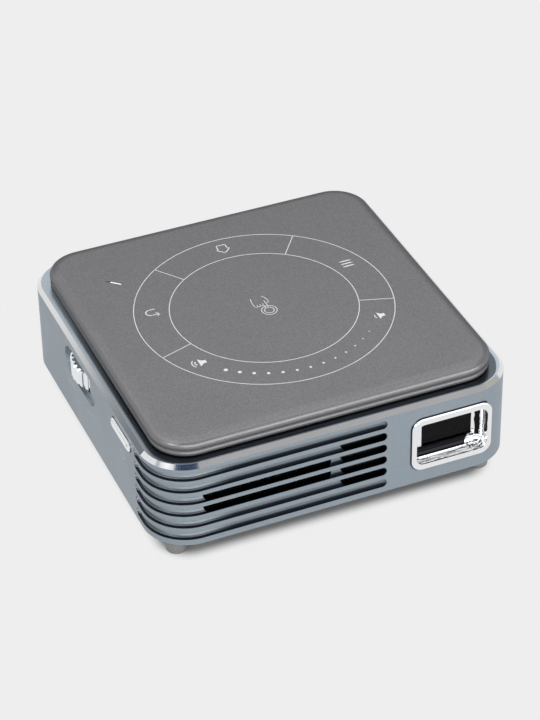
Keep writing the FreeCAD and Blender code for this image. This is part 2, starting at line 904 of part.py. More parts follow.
def board_stands():
    """Centres of the posts that carry the main board."""
    xs = (d.board_left + d.stand_inset, d.board_right - d.stand_inset)
    ys = (d.board_front + d.stand_inset, d.stand_rear)
    return [(x, y) for x in xs for y in ys]


def bracket_holes():
    """Centres of the two screws that hold the wheel's bracket."""
    reach = d.bracket_half - d.tiny_head
    return [(WHEEL_X + reach, y) for y in about(d.wheel_y, reach)]


def make_base_plate():
    """The plastic base, with posts for the main board and an air inlet under the blower."""
    body = new_body("base_plate")
    half = d.base_side / 2
    floor = up(d.base_thick)
    pad(body, "z", (up(0), floor), rounded, (-half, half), (-half, half), d.base_corner)
    pad(body, "z", (floor, up(d.board_level)), circles, board_stands(), d.stand_radius)
    pocket(body, "z", (up(0), floor), circles, CORNERS, d.base_hole)
    pocket(body, "z", (up(0), up(d.base_sink_depth)), circles, CORNERS, d.base_sink)
    pocket(body, "z", (up(0), floor), circle, 0, 0, d.bush_radius)
    pocket(body, "z", (up(d.base_thick), up(d.board_level)), circles, board_stands(),
           d.tiny_hole)
    pocket(body, "z", (up(d.base_thick + d.bracket_foot - d.tiny_reach), floor), circles,
           bracket_holes(), d.tiny_hole)
    for row in range(-2, 3):
        y = d.blower_y + row * d.intake_pitch
        reach = d.intake_length / 2 - abs(row) * d.intake_width
        pocket(body, "z", (up(0), floor), stadium, about(d.blower_x, reach),
               about(y, d.intake_width / 2))
    return body


def make_base_screws():
    """Four screws through the base into the corner posts."""
    screws = []
    for number, corner in enumerate(CORNERS):
        head_top = up(d.base_sink_depth)
        name = f"base_screw_{number}"
        screws.append(fuse(
            name,
            cylinder(f"{name}_head", "z", corner, d.screw_head,
                     (head_top - d.screw_head_height, head_top)),
            cylinder(f"{name}_shank", "z", corner, d.screw_shank, (head_top, up(d.screw_reach)))))
    return group("base_screws", *screws)


def make_feet():
    """Four round feet over the base screws."""
    feet = []
    names = ("foot_front_left", "foot_rear_left", "foot_front_right", "foot_rear_right")
    for name, (x, y) in zip(names, CORNERS):
        body = new_body(name, x, y)
        pad(body, "z", (0, d.foot_height), circle, 0, 0, d.foot_radius)
        ease(body, "Fillet", d.foot_round, lambda edge: at(edge.ZMax, 0))
        feet.append(body)
    return feet


def make_tripod_bush():
    """The brass bush for a tripod screw, its thread as a plain bore."""
    body = new_body("tripod_bush")
    floor = up(d.base_thick)
    pad(body, "z", (up(0), up(d.bush_height)), circle, 0, 0, d.bush_radius)
    pad(body, "z", (floor, floor + d.bush_flange_thick), circle, 0, 0, d.bush_flange)
    pocket(body, "z", (up(0), up(d.bush_depth)), circle, 0, 0, d.bush_thread)
    return body


# Lens -------------------------------------------------------------------------------------------

def make_lens_bezel():
    """The chrome frame, its recess and the sharp-cornered opening at the back."""
    body = new_body("lens_bezel")
    front = -HALF - d.bezel_proud
    back = d.recess_depth - HALF
    tunnel_x = d.recess_width / 2 + d.tunnel_wall
    tunnel_z = d.recess_height / 2 + d.tunnel_wall
    recess_x = about(d.lens_x, d.recess_width / 2)
    recess_z = about(LENS_Z, d.recess_height / 2)
    seat = d.bezel_seat - HALF
    pad(body, "y", (front, seat), rounded, about(d.lens_x, d.bezel_width / 2),
        about(LENS_Z, d.bezel_height / 2), d.bezel_corner)
    ease(body, "Fillet", d.bezel_edge, lambda edge: at(edge.YMax, front))
    pad(body, "y", (seat, back + d.bezel_back), rounded, about(d.lens_x, tunnel_x),
        about(LENS_Z, tunnel_z), d.recess_corner + d.tunnel_wall)
    pocket(body, "y", (front, back), rounded, recess_x, recess_z, d.recess_corner)
    ease(body, "Fillet", d.recess_round, lambda edge: at(edge.YMin, back))
    pocket(body, "y", (back, back + d.bezel_back), rectangle,
           about(d.lens_x, d.pupil_width / 2), about(LENS_Z, d.pupil_height / 2))
    return body


def make_lens_window():
    """The dark glass behind the bezel."""
    front = d.recess_depth - HALF + d.bezel_back
    return box("lens_window", about(d.lens_x, d.pupil_width / 2 + d.glass_margin),
               (front, front + d.glass_thick),
               about(LENS_Z, d.pupil_height / 2 + d.glass_margin))


def make_lens_holder():
    """The tube that guides the barrel, with its flange, pin slot and guide pin."""
    body = new_body("lens_holder")
    bore = d.barrel_radius + d.holder_slack
    seat = up(d.slider_level - d.pin_slack)
    guide = (d.holder_guide_x, d.holder_guide_y)
    pad(body, "y", (d.holder_front, d.engine_front), circle, d.lens_x, LENS_Z, d.holder_radius)
    pad(body, "y", (d.flange_front, d.engine_front), rounded, about(d.lens_x, d.flange_half),
        about(LENS_Z, d.flange_half_height), d.recess_corner)
    pad(body, "z", (LENS_Z, seat), circle, guide[0], guide[1], d.guide_radius)
    pocket(body, "y", (d.holder_front, d.engine_front), circle, d.lens_x, LENS_Z, bore)
    pad(body, "z", (seat, up(d.pin_top)), circle, guide[0], guide[1], d.pin_radius)
    reach = d.travel + d.pin_slack * 4
    pocket(body, "z", (LENS_Z, up(d.slider_level)), slot, (d.lens_x, d.pin_y - reach),
           (d.lens_x, d.pin_y + reach), d.pin_radius + d.pin_slack)
    pocket(body, "y", (d.flange_front, d.engine_front), circles, holder_holes(), d.tiny_hole)
    return body


def holder_holes():
    """Centres of the screws through the holder's flange, sideways and upwards."""
    reach_x = d.flange_half - d.tiny_head
    reach_z = d.flange_half_height - d.tiny_head * 1.6
    return [(x, z) for x in about(d.lens_x, reach_x) for z in about(LENS_Z, reach_z)]


def make_lens_barrel():
    """The sliding barrel with a seat for a lens at each end and a hole for the focus pin."""
    body = new_body("lens_barrel")
    front = d.barrel_front
    back = front + d.barrel_length
    pad(body, "y", (front, back), circle, d.lens_x, LENS_Z, d.barrel_radius)
    ease(body, "Chamfer", d.bezel_edge, lambda edge: at(edge.YMax, front))
    pocket(body, "y", (front, back), circle, d.lens_x, LENS_Z, d.barrel_bore)
    pocket(body, "y", (front, front + d.seat_depth), circle, d.lens_x, LENS_Z, d.barrel_seat)
    pocket(body, "y", (back - d.seat_depth, back), circle, d.lens_x, LENS_Z, d.barrel_rear_seat)
    pocket(body, "z", (LENS_Z + d.barrel_bore - d.pin_radius, LENS_Z + d.barrel_radius), circle,
           d.lens_x, d.pin_y, d.pin_radius)
    return body


def domed_lens(label, axis, centre, radius, dome, flat_face, thick, way):
    """A lens with one flat face and one domed face, way telling which end is domed."""
    tip = flat_face + way * thick
    span = sorted((as_size(flat_face), tip), key=lambda size: size.value)
    place = list(centre)
    place.insert("xyz".index(axis), tip - way * dome)
    common = doc.addObject("Part::Common", label)
    common.Base = cylinder(f"{label}_disc", axis, centre, radius, span)
    common.Tool = ball(f"{label}_dome", *place, dome)
    return common


def make_lenses():
    """The lenses at the two ends of the barrel."""
    centre = (d.lens_x, LENS_Z)
    front_seat = d.barrel_front + d.seat_depth
    rear_seat = d.barrel_front + d.barrel_length - d.seat_depth
    thick = d.seat_depth - d.bezel_edge
    return [
        domed_lens("front_lens", "y", centre, d.barrel_seat - d.lens_slack, d.lens_dome,
                   front_seat, thick, -1),
        domed_lens("rear_lens", "y", centre, d.barrel_rear_seat - d.lens_slack, d.lens_dome,
                   rear_seat, thick, 1),
    ]


def make_focus_pin():
    """The pin pressed into the barrel, which the slider's cam slot drives."""
    return cylinder("focus_pin", "z", (d.lens_x, d.pin_y), d.pin_radius,
                    (LENS_Z + d.barrel_bore, up(d.pin_top)))


# Light engine -----------------------------------------------------------------------------------

def make_engine_housing():
    """The die-cast box of the light engine, with ports for lens, chip and lamps."""
    body = new_body("engine_housing")
    x = (d.engine_left, d.engine_right)
    y = (d.engine_front, d.engine_back)
    wall = d.engine_wall
    pad(body, "z", (up(d.engine_floor), up(d.engine_top)), rectangle, x, y)
    pocket(body, "z", (up(d.engine_floor + wall), up(d.engine_top)), rectangle,
           (x[0] + wall, x[1] - wall), (y[0] + wall, y[1] - wall))
    pocket(body, "y", (y[0], y[0] + wall), circle, d.lens_x, LENS_Z, d.port_radius)
    pocket(body, "y", (y[0], y[0] + wall), circles, holder_holes(), d.tiny_hole)
    pocket(body, "y", (y[1] - wall, y[1]), circle, d.lamp_x, LENS_Z, d.beam_radius)
    pocket(body, "y", (y[1] - wall, y[1]), rectangle,
           about(d.lens_x, d.chip_width / 2 + d.bezel_gap),
           about(LENS_Z, d.chip_height / 2 + d.bezel_gap))
    pocket(body, "x", (x[0], x[0] + wall), circle, d.lamp_y, LENS_Z, d.beam_radius)
    for end_x in (x[0] + d.engine_wall, x[1] - d.engine_wall):
        pad(body, "z", (up(d.base_thick), up(d.engine_floor)), circles,
            [(end_x, y[0] + wall), (end_x, y[1] - wall)], d.stand_hole)
    return body


def make_engine_cover():
    """The lid of the light engine."""
    return box("engine_cover", (d.engine_left, d.engine_right), (d.engine_front, d.engine_back),
               (up(d.engine_top), up(d.engine_top + d.engine_lid)))


def make_prism():
    """The wedge of glass that turns the lamps' light onto the chip."""
    body = new_body("prism")
    left, right = about(d.lens_x, d.prism_half)
    pad(body, "z", (up(d.engine_floor + d.engine_wall), up(d.prism_top)), polygon,
        [(left, d.prism_back), (right, d.prism_back), (right, d.prism_front),
         (d.lens_x, d.prism_front)])
    return body


def make_collimators():
    """The two lamp lenses in their ports."""
    gap = d.bezel_proud
    left = domed_lens("collimator_left", "x", (d.lamp_y, LENS_Z), d.collimator_radius,
                      d.collimator_dome, d.engine_left + gap, d.collimator_thick, 1)
    rear = domed_lens("collimator_rear", "y", (d.lamp_x, LENS_Z), d.collimator_radius,
                      d.collimator_dome, d.engine_back - gap, d.collimator_thick, -1)
    return group("collimators", left, rear)


def make_dichroic_plate():
    """The slanted colour mirror where the two beams meet."""
    body = new_body("dichroic_plate")
    body.Placement = Placement(Vector(), Rotation(Vector(0, 0, 1), -45))
    body.setExpression("Placement.Base.x", d.lamp_x.text)
    body.setExpression("Placement.Base.y", d.lamp_y.text)
    pad(body, "z", (up(d.engine_floor + d.engine_wall), up(d.mirror_top)), rectangle,
        (-d.mirror_half, d.mirror_half), (-d.mirror_thick / 2, d.mirror_thick / 2))
    return body


def make_lamps():
    """The two lamp boards, each with its light source facing a port."""
    die = d.bezel_edge
    left_board = box("lamp_left_board", (d.engine_left - d.lamp_board, d.engine_left),
                     about(d.lamp_y, d.lamp_half), about(LENS_Z, d.lamp_half))
    left_die = box("lamp_left_die", (d.engine_left, d.engine_left + die),
                   about(d.lamp_y, d.lamp_board), about(LENS_Z, d.lamp_board))
    rear_board = box("lamp_rear_board", about(d.lamp_x, d.lamp_half),
                     (d.engine_back, d.engine_back + d.lamp_board), about(LENS_Z, d.lamp_half))
    rear_die = box("lamp_rear_die", about(d.lamp_x, d.lamp_board),
                   (d.engine_back - die, d.engine_back), about(LENS_Z, d.lamp_board))
    return [fuse("led_module_left", left_board, left_die),
            fuse("led_module_rear", rear_board, rear_die)]


def make_dmd_board():
    """The board with the mirror chip, which faces the prism through the rear port."""
    board = box("dmd_card", about(d.lens_x, d.sink_half + d.lamp_board),
                (d.engine_back, d.engine_back + d.lamp_board),
                (up(d.engine_floor + d.engine_lid), up(d.engine_top)))
    chip = box("dmd_chip", about(d.lens_x, d.chip_width / 2),
               (d.engine_back - d.chip_reach, d.engine_back), about(LENS_Z, d.chip_height / 2))
    return fuse("dmd_board", board, chip)


def make_dmd_heat_sink():
    """Fins behind the mirror chip."""
    body = new_body("dmd_heat_sink")
    x = about(d.lens_x, d.sink_half)
    z = (up(d.engine_floor + d.engine_wall), up(d.mirror_top))
    pad(body, "y", (d.sink_front, d.sink_back), rectangle, x, z)
    plate = d.sink_front + d.lamp_board
    gap = (d.sink_half * 2 - d.fin_plate) / 6 - d.fin_plate
    first = x[0] + d.fin_plate
    groove = pocket(body, "y", (plate, d.sink_back), rectangle, (first, first + gap), z)
    in_a_row(body, groove, "x", (gap + d.fin_plate) * 5, 6)
    return body


def make_heat_block():
    """The copper corner block that both lamp boards are screwed to."""
    body = new_body("heat_block")
    right = d.engine_left - d.lamp_board
    front = d.lamp_y - d.lamp_half
    inner = d.engine_back + d.lamp_board
    pad(body, "z", (up(d.block_bottom), up(d.pipe_level)), polygon,
        [(d.block_left, front), (right, front), (right, inner), (d.block_right, inner),
         (d.block_right, d.block_back), (d.block_left, d.block_back)])
    return body


def make_heat_pipe():
    """The flattened pipe from the copper block to the fins."""
    body = new_body("heat_pipe")
    half = d.pipe_width / 2
    slant = math.tan(math.radians(22.5))
    centre = (d.block_left + d.engine_left - d.lamp_board) / 2
    run = centre - d.pipe_turn
    turn = d.pipe_front + run
    outer = [(d.pipe_left, d.pipe_front - half),
             (d.pipe_turn + half * slant, d.pipe_front - half),
             (centre + half, turn - half * slant), (centre + half, d.pipe_end)]
    inner = [(centre - half, d.pipe_end), (centre - half, turn + half * slant),
             (d.pipe_turn - half * slant, d.pipe_front + half),
             (d.pipe_left, d.pipe_front + half)]
    pad(body, "z", (up(d.pipe_level), up(d.pipe_level + d.pipe_thick)), polygon, outer + inner)
    ease(body, "Fillet", d.pipe_thick * 0.4, lambda edge: edge.ZLength < 1e-6)
    return body


def make_heat_sink():
    """The fins that the blower's air leaves through, between two plates."""
    body = new_body("heat_sink")
    x = (d.fins_left, d.fins_right)
    z = (up(d.base_thick), up(d.pipe_level))
    pad(body, "y", (d.fins_front, d.fins_back), rectangle, x, z)
    pitch = (d.fins_right - d.fins_left - d.fin_thick) / (d.fin_count - 1)
    first = d.fins_left + d.fin_thick
    gap = pocket(body, "y", (d.fins_front, d.fins_back), rectangle,
                 (first, d.fins_left + pitch), (z[0] + d.fin_plate, z[1] - d.fin_plate))
    in_a_row(body, gap, "x", pitch * (d.fin_count - 2), d.fin_count - 1)
    return body


# Blower -----------------------------------------------------------------------------------------

BLOWER = (d.blower_x, d.blower_y)


def blower_outline(body, span, radius, x, front):
    """The round part and the straight outlet of the blower, as one prism."""
    pad(body, "z", span, circle, d.blower_x, d.blower_y, radius)
    pad(body, "z", span, rectangle, x, (front, d.blower_y))


def make_blower_housing():
    """The lower half of the blower: chamber, outlet, lower inlet, legs and bearing tower."""
    body = new_body("blower_housing")
    floor = up(d.blower_bottom + d.blower_floor)
    top = up(d.blower_top)
    x = (d.blower_left, d.blower_right)
    blower_outline(body, (up(d.blower_bottom), top), d.blower_radius, x, d.blower_front)
    pocket(body, "z", (floor, top), circle, d.blower_x, d.blower_y, d.blower_chamber)
    pocket(body, "z", (floor, top), rectangle,
           (x[0] + d.blower_wall, x[1] - d.blower_wall), (d.blower_front, d.blower_y))
    pocket(body, "z", (up(d.blower_bottom), floor), circle, d.blower_x, d.blower_y,
           d.inlet_radius)
    pad(body, "z", (up(d.blower_bottom), floor), circle, d.blower_x, d.blower_y, d.inlet_inner)
    pad(body, "z", (up(d.blower_bottom), floor), rectangles,
        [(about(d.blower_x, d.inlet_radius + d.blower_wall), about(d.blower_y, d.spoke_half))])
    pad(body, "z", (up(d.blower_bottom), floor), rectangles,
        [(about(d.blower_x, d.spoke_half), about(d.blower_y, d.inlet_radius + d.blower_wall))])
    pad(body, "z", (floor, up(d.tower_top)), circle, d.blower_x, d.blower_y, d.tower_radius)
    pocket(body, "z", (floor, up(d.tower_top)), circle, d.blower_x, d.blower_y,
           d.bearing_radius)
    reach = d.blower_chamber - d.leg_radius / 2
    legs = [(d.blower_x, d.blower_y + reach), (d.blower_left + d.leg_radius, d.blower_front + reach / 3),
            (d.blower_right - d.leg_radius, d.blower_front + reach / 3)]
    pad(body, "z", (up(d.base_thick), up(d.blower_bottom)), circles, legs, d.leg_radius)
    return body


def make_blower_cover():
    """The lid of the blower, with its round inlet."""
    body = new_body("blower_cover")
    span = (up(d.blower_top), up(d.blower_top + d.blower_lid))
    blower_outline(body, span, d.blower_radius, (d.blower_left, d.blower_right), d.blower_front)
    pocket(body, "z", span, circle, d.blower_x, d.blower_y, d.inlet_radius)
    return body


def arc_band(sketch, x, y, radius, thick, start, end):
    """A thin curved band between two angles in quarter turns."""
    first = sketch.GeometryCount
    outer = arc(x, y, radius + thick, start, end)
    inner = arc(x, y, radius, start, end)
    sketch.addGeometry([outer, inner, Part.LineSegment(inner.StartPoint, outer.StartPoint),
                        Part.LineSegment(outer.EndPoint, inner.EndPoint)])
    for one, one_end, other, other_end in ((0, START, 2, END), (1, START, 2, START),
                                           (0, END, 3, START), (1, END, 3, END),
                                           (0, CENTRE, 1, CENTRE)):
        sketch.addConstraint(Sketcher.Constraint("Coincident", first + one, one_end,
                                                 first + other, other_end))
    set_length(sketch, radius + thick, "Radius", first)
    set_length(sketch, radius, "Radius", first + 1)
    set_point(sketch, first, CENTRE, x, y)
    for geometry, curve in ((first, outer), (first + 1, inner)):
        set_point(sketch, geometry, START, y=curve.StartPoint.y)
        set_point(sketch, geometry, END, y=curve.EndPoint.y)


def make_blower_rotor():
    """The impeller: a cup with a ring of curved blades."""
    body = new_body("blower_rotor", d.blower_x, d.blower_y)
    bottom = up(d.rotor_bottom)
    top = up(d.rotor_top)
    pad(body, "z", (bottom, top), circle, 0, 0, d.hub_radius)
    pocket(body, "z", (bottom, top - d.hub_wall), circle, 0, 0, d.hub_radius - d.hub_wall)
    pad(body, "z", (up(d.stator_top) + d.hub_wall, top - d.hub_wall), circle, 0, 0,
        d.tower_radius)
    pocket(body, "z", (up(d.stator_top), top), circle, 0, 0, d.axle_radius)
    blade = pad(body, "z", (bottom, top), arc_band, d.hub_radius - 1, -d.blade_curve,
                d.blade_curve, d.blade_thick, 0.37, 0.97)
    round_turn(body, blade, d.blade_count)
    return body


def make_blower_core():
    """Axle, bearing and coils."""
    bearing = washer("blower_bearing", "z", BLOWER, d.bearing_radius,
                     d.axle_radius + d.axle_slack,
                     (up(d.blower_bottom + d.blower_floor), up(d.tower_top)))
    axle = cylinder("blower_axle", "z", BLOWER, d.axle_radius,
                    (up(d.blower_bottom + d.blower_floor) + d.axle_slack, up(d.rotor_top)))
    stator = washer("blower_stator", "z", BLOWER, d.stator_radius, d.tower_radius,
                    (up(d.stator_bottom), up(d.tower_top)))
    return [bearing, axle, stator]


# Boards, battery, speaker and sockets -----------------------------------------------------------

SOCKETS = [(d.hdmi_x, d.hdmi_width, d.hdmi_height), (d.usb_x, d.usb_width, d.usb_height),
           (d.power_x, d.power_width, d.power_height)]


def make_main_board():
    """The main board on its four posts."""
    body = new_body("main_board")
    span = (up(d.board_level), BOARD_TOP)
    pad(body, "z", span, rectangle, (d.board_left, d.board_right), (d.board_front, d.board_back))
    pocket(body, "z", span, circles, board_stands(), d.tiny_hole)
    return body


def make_battery():
    """A flat battery pack with soft long edges."""
    body = new_body("battery_pack")
    pad(body, "x", (d.battery_left, d.battery_right), rounded,
        (d.battery_front, d.battery_back), (up(d.base_thick), up(d.battery_top)),
        d.battery_round)
    return body


def make_shield():
    """The pressed can over the processor."""
    body = new_body("processor_shield")
    x = (d.shield_left, d.shield_left + d.shield_side)
    y = (d.shield_front, d.shield_front + d.shield_side)
    top = BOARD_TOP + d.shield_height
    sheet = d.shield_wall
    pad(body, "z", (BOARD_TOP, top), rectangle, x, y)
    pocket(body, "z", (BOARD_TOP, top - sheet), rectangle, (x[0] + sheet, x[1] - sheet),
           (y[0] + sheet, y[1] - sheet))
    return body


def make_socket(label, x, width, height, depth, corner, tongue):
    """A sheet-metal socket shell with a contact tongue inside, open to the rear."""
    body = new_body(label)
    front = d.socket_rear - depth
    sheet = d.sheet_metal
    low, high = BOARD_TOP, BOARD_TOP + height
    pad(body, "y", (front, d.socket_rear), rounded, about(x, width / 2), (low, high), corner)
    pocket(body, "y", (front + sheet * 4, d.socket_rear), rounded, about(x, width / 2 - sheet),
           (low + sheet, high - sheet), corner - sheet)
    blade, level = tongue
    pad(body, "y", (front + sheet * 4, d.socket_rear - sheet * 4), rectangle,
        about(x, width * 0.36), about(low + height * level, blade / 2))
    return body


def make_sockets():
    """Video, data and power sockets on the board's rear edge."""
    return [
        make_socket("hdmi_socket", d.hdmi_x, d.hdmi_width, d.hdmi_height, d.hdmi_depth,
                    d.fin_thick, (d.fin_plate, 0.5)),
        make_socket("usb_socket", d.usb_x, d.usb_width, d.usb_height, d.usb_depth,
                    d.fin_thick, (d.engine_wall, 0.66)),
        make_socket("power_socket", d.power_x, d.power_width, d.power_height, d.power_depth,
                    d.power_height / 2 - d.port_gap / 4, (d.fin_thick, 0.5)),
    ]


def make_audio_socket():
    """The headphone socket: a block with a round collar and a bore."""
    body = new_body("audio_socket")
    z = (BOARD_TOP, BOARD_TOP + d.audio_half * 2)
    front = d.socket_rear - d.audio_depth
    pad(body, "y", (front, INNER - d.port_gap), rectangle, about(d.audio_x, d.audio_half), z)
    pad(body, "y", (INNER - d.port_gap, d.socket_rear), circle, d.audio_x, z[0] + d.audio_half,
        d.audio_collar)
    pocket(body, "y", (front + d.blower_wall, d.socket_rear), circle, d.audio_x,
           z[0] + d.audio_half, d.audio_bore)
    return body


def make_ir_window():
    """The dark window for the remote control, in the rear wall."""
    return cylinder("ir_window", "y", (d.ir_x, up(d.ir_level)), d.ir_radius,
                    (INNER - d.bezel_proud, HALF - d.light_drop))


def make_speaker():
    """A box speaker behind the short slots, with a dished cone."""
    body = new_body("speaker")
    x = (d.speaker_left, d.speaker_right)
    z = (up(d.base_thick), up(d.speaker_top))
    pad(body, "y", (d.speaker_front, d.speaker_back), rectangle, x, z)
    rim = d.blower_wall
    pocket(body, "y", (d.speaker_front, d.speaker_front + d.speaker_dish), rounded,
           (x[0] + rim, x[1] - rim), (z[0] + rim * 2, z[1] - rim), d.bezel_corner)
    return body


# Focus drive ------------------------------------------------------------------------------------

def make_wheel_bracket():
    """The column that carries the thumbwheel's axle."""
    body = new_body("wheel_bracket", WHEEL_X, d.wheel_y)
    half = d.bracket_half
    floor = up(d.base_thick)
    pad(body, "z", (floor, floor + d.bracket_foot), rounded, (-half, half), (-half, half),
        d.recess_corner)
    pad(body, "z", (floor, WHEEL_Z - d.washer_thick), circle, 0, 0, d.bracket_radius)
    pocket(body, "z", (up(d.axle_foot), WHEEL_Z - d.washer_thick), circle, 0, 0, d.wheel_axle)
    reach = half - d.tiny_head
    pocket(body, "z", (floor, floor + d.bracket_foot), circles, [(reach, -reach), (reach, reach)],
           d.tiny_hole)
    return body


def make_wheel_axle():
    """The fixed axle, with a neck at its top for a clip."""
    body = new_body("wheel_axle", WHEEL_X, d.wheel_y)
    neck = up(d.axle_neck_level)
    pad(body, "z", (up(d.axle_foot), neck), circle, 0, 0, d.wheel_axle)
    pad(body, "z", (neck, neck + d.clip_thick * 1.5), circle, 0, 0, d.pin_radius)
    return body


def make_focus_wheel():
    """The fluted thumbwheel."""
    body = new_body("focus_wheel", WHEEL_X, d.wheel_y, WHEEL_Z)
    top = d.wheel_height
    pad(body, "z", (0, top), circle, 0, 0, d.wheel_radius)
    ease(body, "Chamfer", d.wheel_edge, lambda edge: True)
    flute = pocket(body, "z", (0, top), circle, d.wheel_radius - d.flute_in, 0, d.flute_radius)
    round_turn(body, flute, d.flute_count)
    pocket(body, "z", (0, top), circle, 0, 0, d.wheel_bore)
    pocket(body, "z", (top - d.pinion_flange_thick, top), circle, 0, 0, d.pinion_flange)
    return body


def gear_prism(module, teeth, height):
    """An involute gear as a solid, one tooth centred on +X."""
    builder = fcgear.FCWireBuilder()
    involute.CreateExternalGear(builder, module, teeth, 20, True)
    outline = Part.Wire([curve.toShape() for curve in builder.wire])
    return Part.Face(outline).extrude(Vector(0, 0, height))


def make_focus_pinion():
    """The pinion on the thumbwheel, with the flange that is sunk into it."""
    base = WHEEL_Z + d.wheel_height - d.pinion_flange_thick
    height = up(d.pinion_top) - base
    gear = gear_prism(d.pinion_module.value, int(d.pinion_teeth.value), height.value)
    flange = Part.makeCylinder(d.pinion_flange.value, d.pinion_flange_thick.value)
    bore = Part.makeCylinder(d.wheel_bore.value, height.value)
    pinion = doc.addObject("Part::Feature", "focus_pinion")
    pinion.Shape = gear.fuse(flange).cut(bore)
    pinion.Placement = Placement(Vector(WHEEL_X.value, d.wheel_y.value, base.value), Rotation())
    return pinion


def slider_outline(tip_line):
    """The slider's outline in plan, from the rack round by the cam pad and back."""
    shoulder = d.post_guide_y - d.slider_level / 7
    return [
        (d.rack_left, d.rack_back), (d.post_guide_x - 6.5, d.rack_back),
        (d.post_guide_x - 3.5, shoulder), (d.post_guide_x + 5, shoulder),
        (d.lens_x - 10.3, d.pin_y - 1), (d.lens_x - 10.3, d.pin_y - 4.4),
        (d.lens_x + 9.6, d.pin_y - 4.4), (d.lens_x + 9.6, d.pin_y + 4.2),
        (d.lens_x - 5.8, d.pin_y + 4.2), (d.post_guide_x + 10, d.post_guide_y + 2.8),
        (d.rack_right, d.post_guide_y + 2.8), (d.rack_right, tip_line), (d.rack_left, tip_line),
    ]


def make_focus_slider():
    """The flat slider: a rack at one end, a slanted cam slot at the other, two guide slots."""
    body = new_body("focus_slider")
    span = (up(d.slider_level), up(d.slider_level + d.slider_thick))
    pitch_line = d.wheel_y - PITCH_RADIUS - d.rack_slack
    tip_line = pitch_line + d.pinion_module * 0.9
    root_line = pitch_line - d.pinion_module * 1.3
    pad(body, "z", span, polygon, slider_outline(tip_line))

    slope = math.tan(math.radians(20))
    at_pitch = TOOTH_PITCH / 4 + d.tooth_slack
    at_tip = at_pitch + d.pinion_module * 0.9 * slope
    at_root = at_pitch - d.pinion_module * 1.3 * slope
    centre = WHEEL_X - TOOTH_PITCH * 3
    gap = pocket(body, "z", span, polygon,
                 [(centre - at_root, root_line), (centre + at_root, root_line),
                  (centre + at_tip, tip_line), (centre - at_tip, tip_line)])
    in_a_row(body, gap, "x", TOOTH_PITCH * 6, 7)

    radius = d.pin_radius + d.pin_slack
    stroke = slider_stroke()
    run = stroke + d.pin_slack * 4
    rise = run * d.travel / stroke
    pocket(body, "z", span, slot, (d.lens_x - run, d.pin_y - rise),
           (d.lens_x + run, d.pin_y + rise), radius)
    for x, y in ((d.post_guide_x, d.post_guide_y), (d.holder_guide_x, d.holder_guide_y)):
        pocket(body, "z", span, slot, (x - run, y), (x + run, y), radius)
    return body


def slider_stroke():
    """How far the slider moves each way."""
    return PITCH_RADIUS * d.wheel_turn * (math.pi / 180)


def make_guide_post():
    """The post on the base whose pin guides the slider."""
    body = new_body("guide_post", d.post_guide_x, d.post_guide_y)
    seat = up(d.slider_level - d.pin_slack)
    pad(body, "z", (up(d.base_thick), seat), circle, 0, 0, d.guide_radius)
    pad(body, "z", (seat, up(d.pin_top)), circle, 0, 0, d.pin_radius)
    return body


def make_clips():
    """Three clips: on the wheel's axle and on the slider's two guide pins."""
    top = up(d.axle_neck_level)
    places = [(WHEEL_X, d.wheel_y), (d.post_guide_x, d.post_guide_y),
              (d.holder_guide_x, d.holder_guide_y)]
    return group("retaining_clips", *[
        washer(f"clip_{number}", "z", place, d.clip_radius, d.pin_radius,
               (top, top + d.clip_thick) if number == 0 else
               (up(d.pin_top) - d.clip_thick, up(d.pin_top)))
        for number, place in enumerate(places)])


def make_wheel_washer():
    """The washer that the wheel runs on."""
    return washer("wheel_washer", "z", (WHEEL_X, d.wheel_y), d.washer_radius, d.wheel_axle,
                  (WHEEL_Z - d.washer_thick, WHEEL_Z))


# Power button -----------------------------------------------------------------------------------

def make_power_button():
    """The button: a long cap, a flange behind the wall and a stem."""
    body = new_body("power_button")
    front = -HALF - d.button_proud
    flange = -INNER + d.button_slack
    reach = d.button_length / 2
    pad(body, "x", (front, flange), stadium, about(d.button_y, reach),
        about(BUTTON_Z, d.button_half))
    ease(body, "Chamfer", d.button_edge, lambda edge: at(edge.XMax, front))
    pad(body, "x", (flange, flange + d.button_flange_thick), stadium,
        about(d.button_y, reach + d.button_flange),
        about(BUTTON_Z, d.button_half + d.button_flange))
    pad(body, "x", (flange + d.button_flange_thick, d.stem_end), circle, d.button_y, BUTTON_Z,
        d.button_stem)
    return body


def make_switch():
    """The switch body, its plunger and the board that carries it."""
    centre = (d.button_y, BUTTON_Z)
    plunger = cylinder("button_plunger", "x", centre, d.plunger_radius,
                       (d.stem_end, d.plunger_end))
    case = box("switch_case", (d.switch_front, d.side_board_outer),
               about(d.button_y, d.switch_half), about(BUTTON_Z, d.switch_half))
    bore_end = d.plunger_end + d.button_travel + d.button_slack
    switch = cut("power_switch", case,
                 cylinder("switch_bore", "x", centre, d.plunger_radius + d.pin_slack,
                          (d.switch_front, bore_end)))
    board = new_body("side_board")
    span = (d.side_board_outer, d.side_board_outer + d.side_board_thick)
    pad(board, "x", span, rectangle, about(d.button_y, d.side_board_half),
        (up(d.side_board_bottom), up(d.side_board_top)))
    pocket(board, "x", span, circles,
           [(y, up(d.boss_level)) for y in about(d.button_y, d.boss_reach)], d.tiny_hole)
    return [plunger, switch, board]


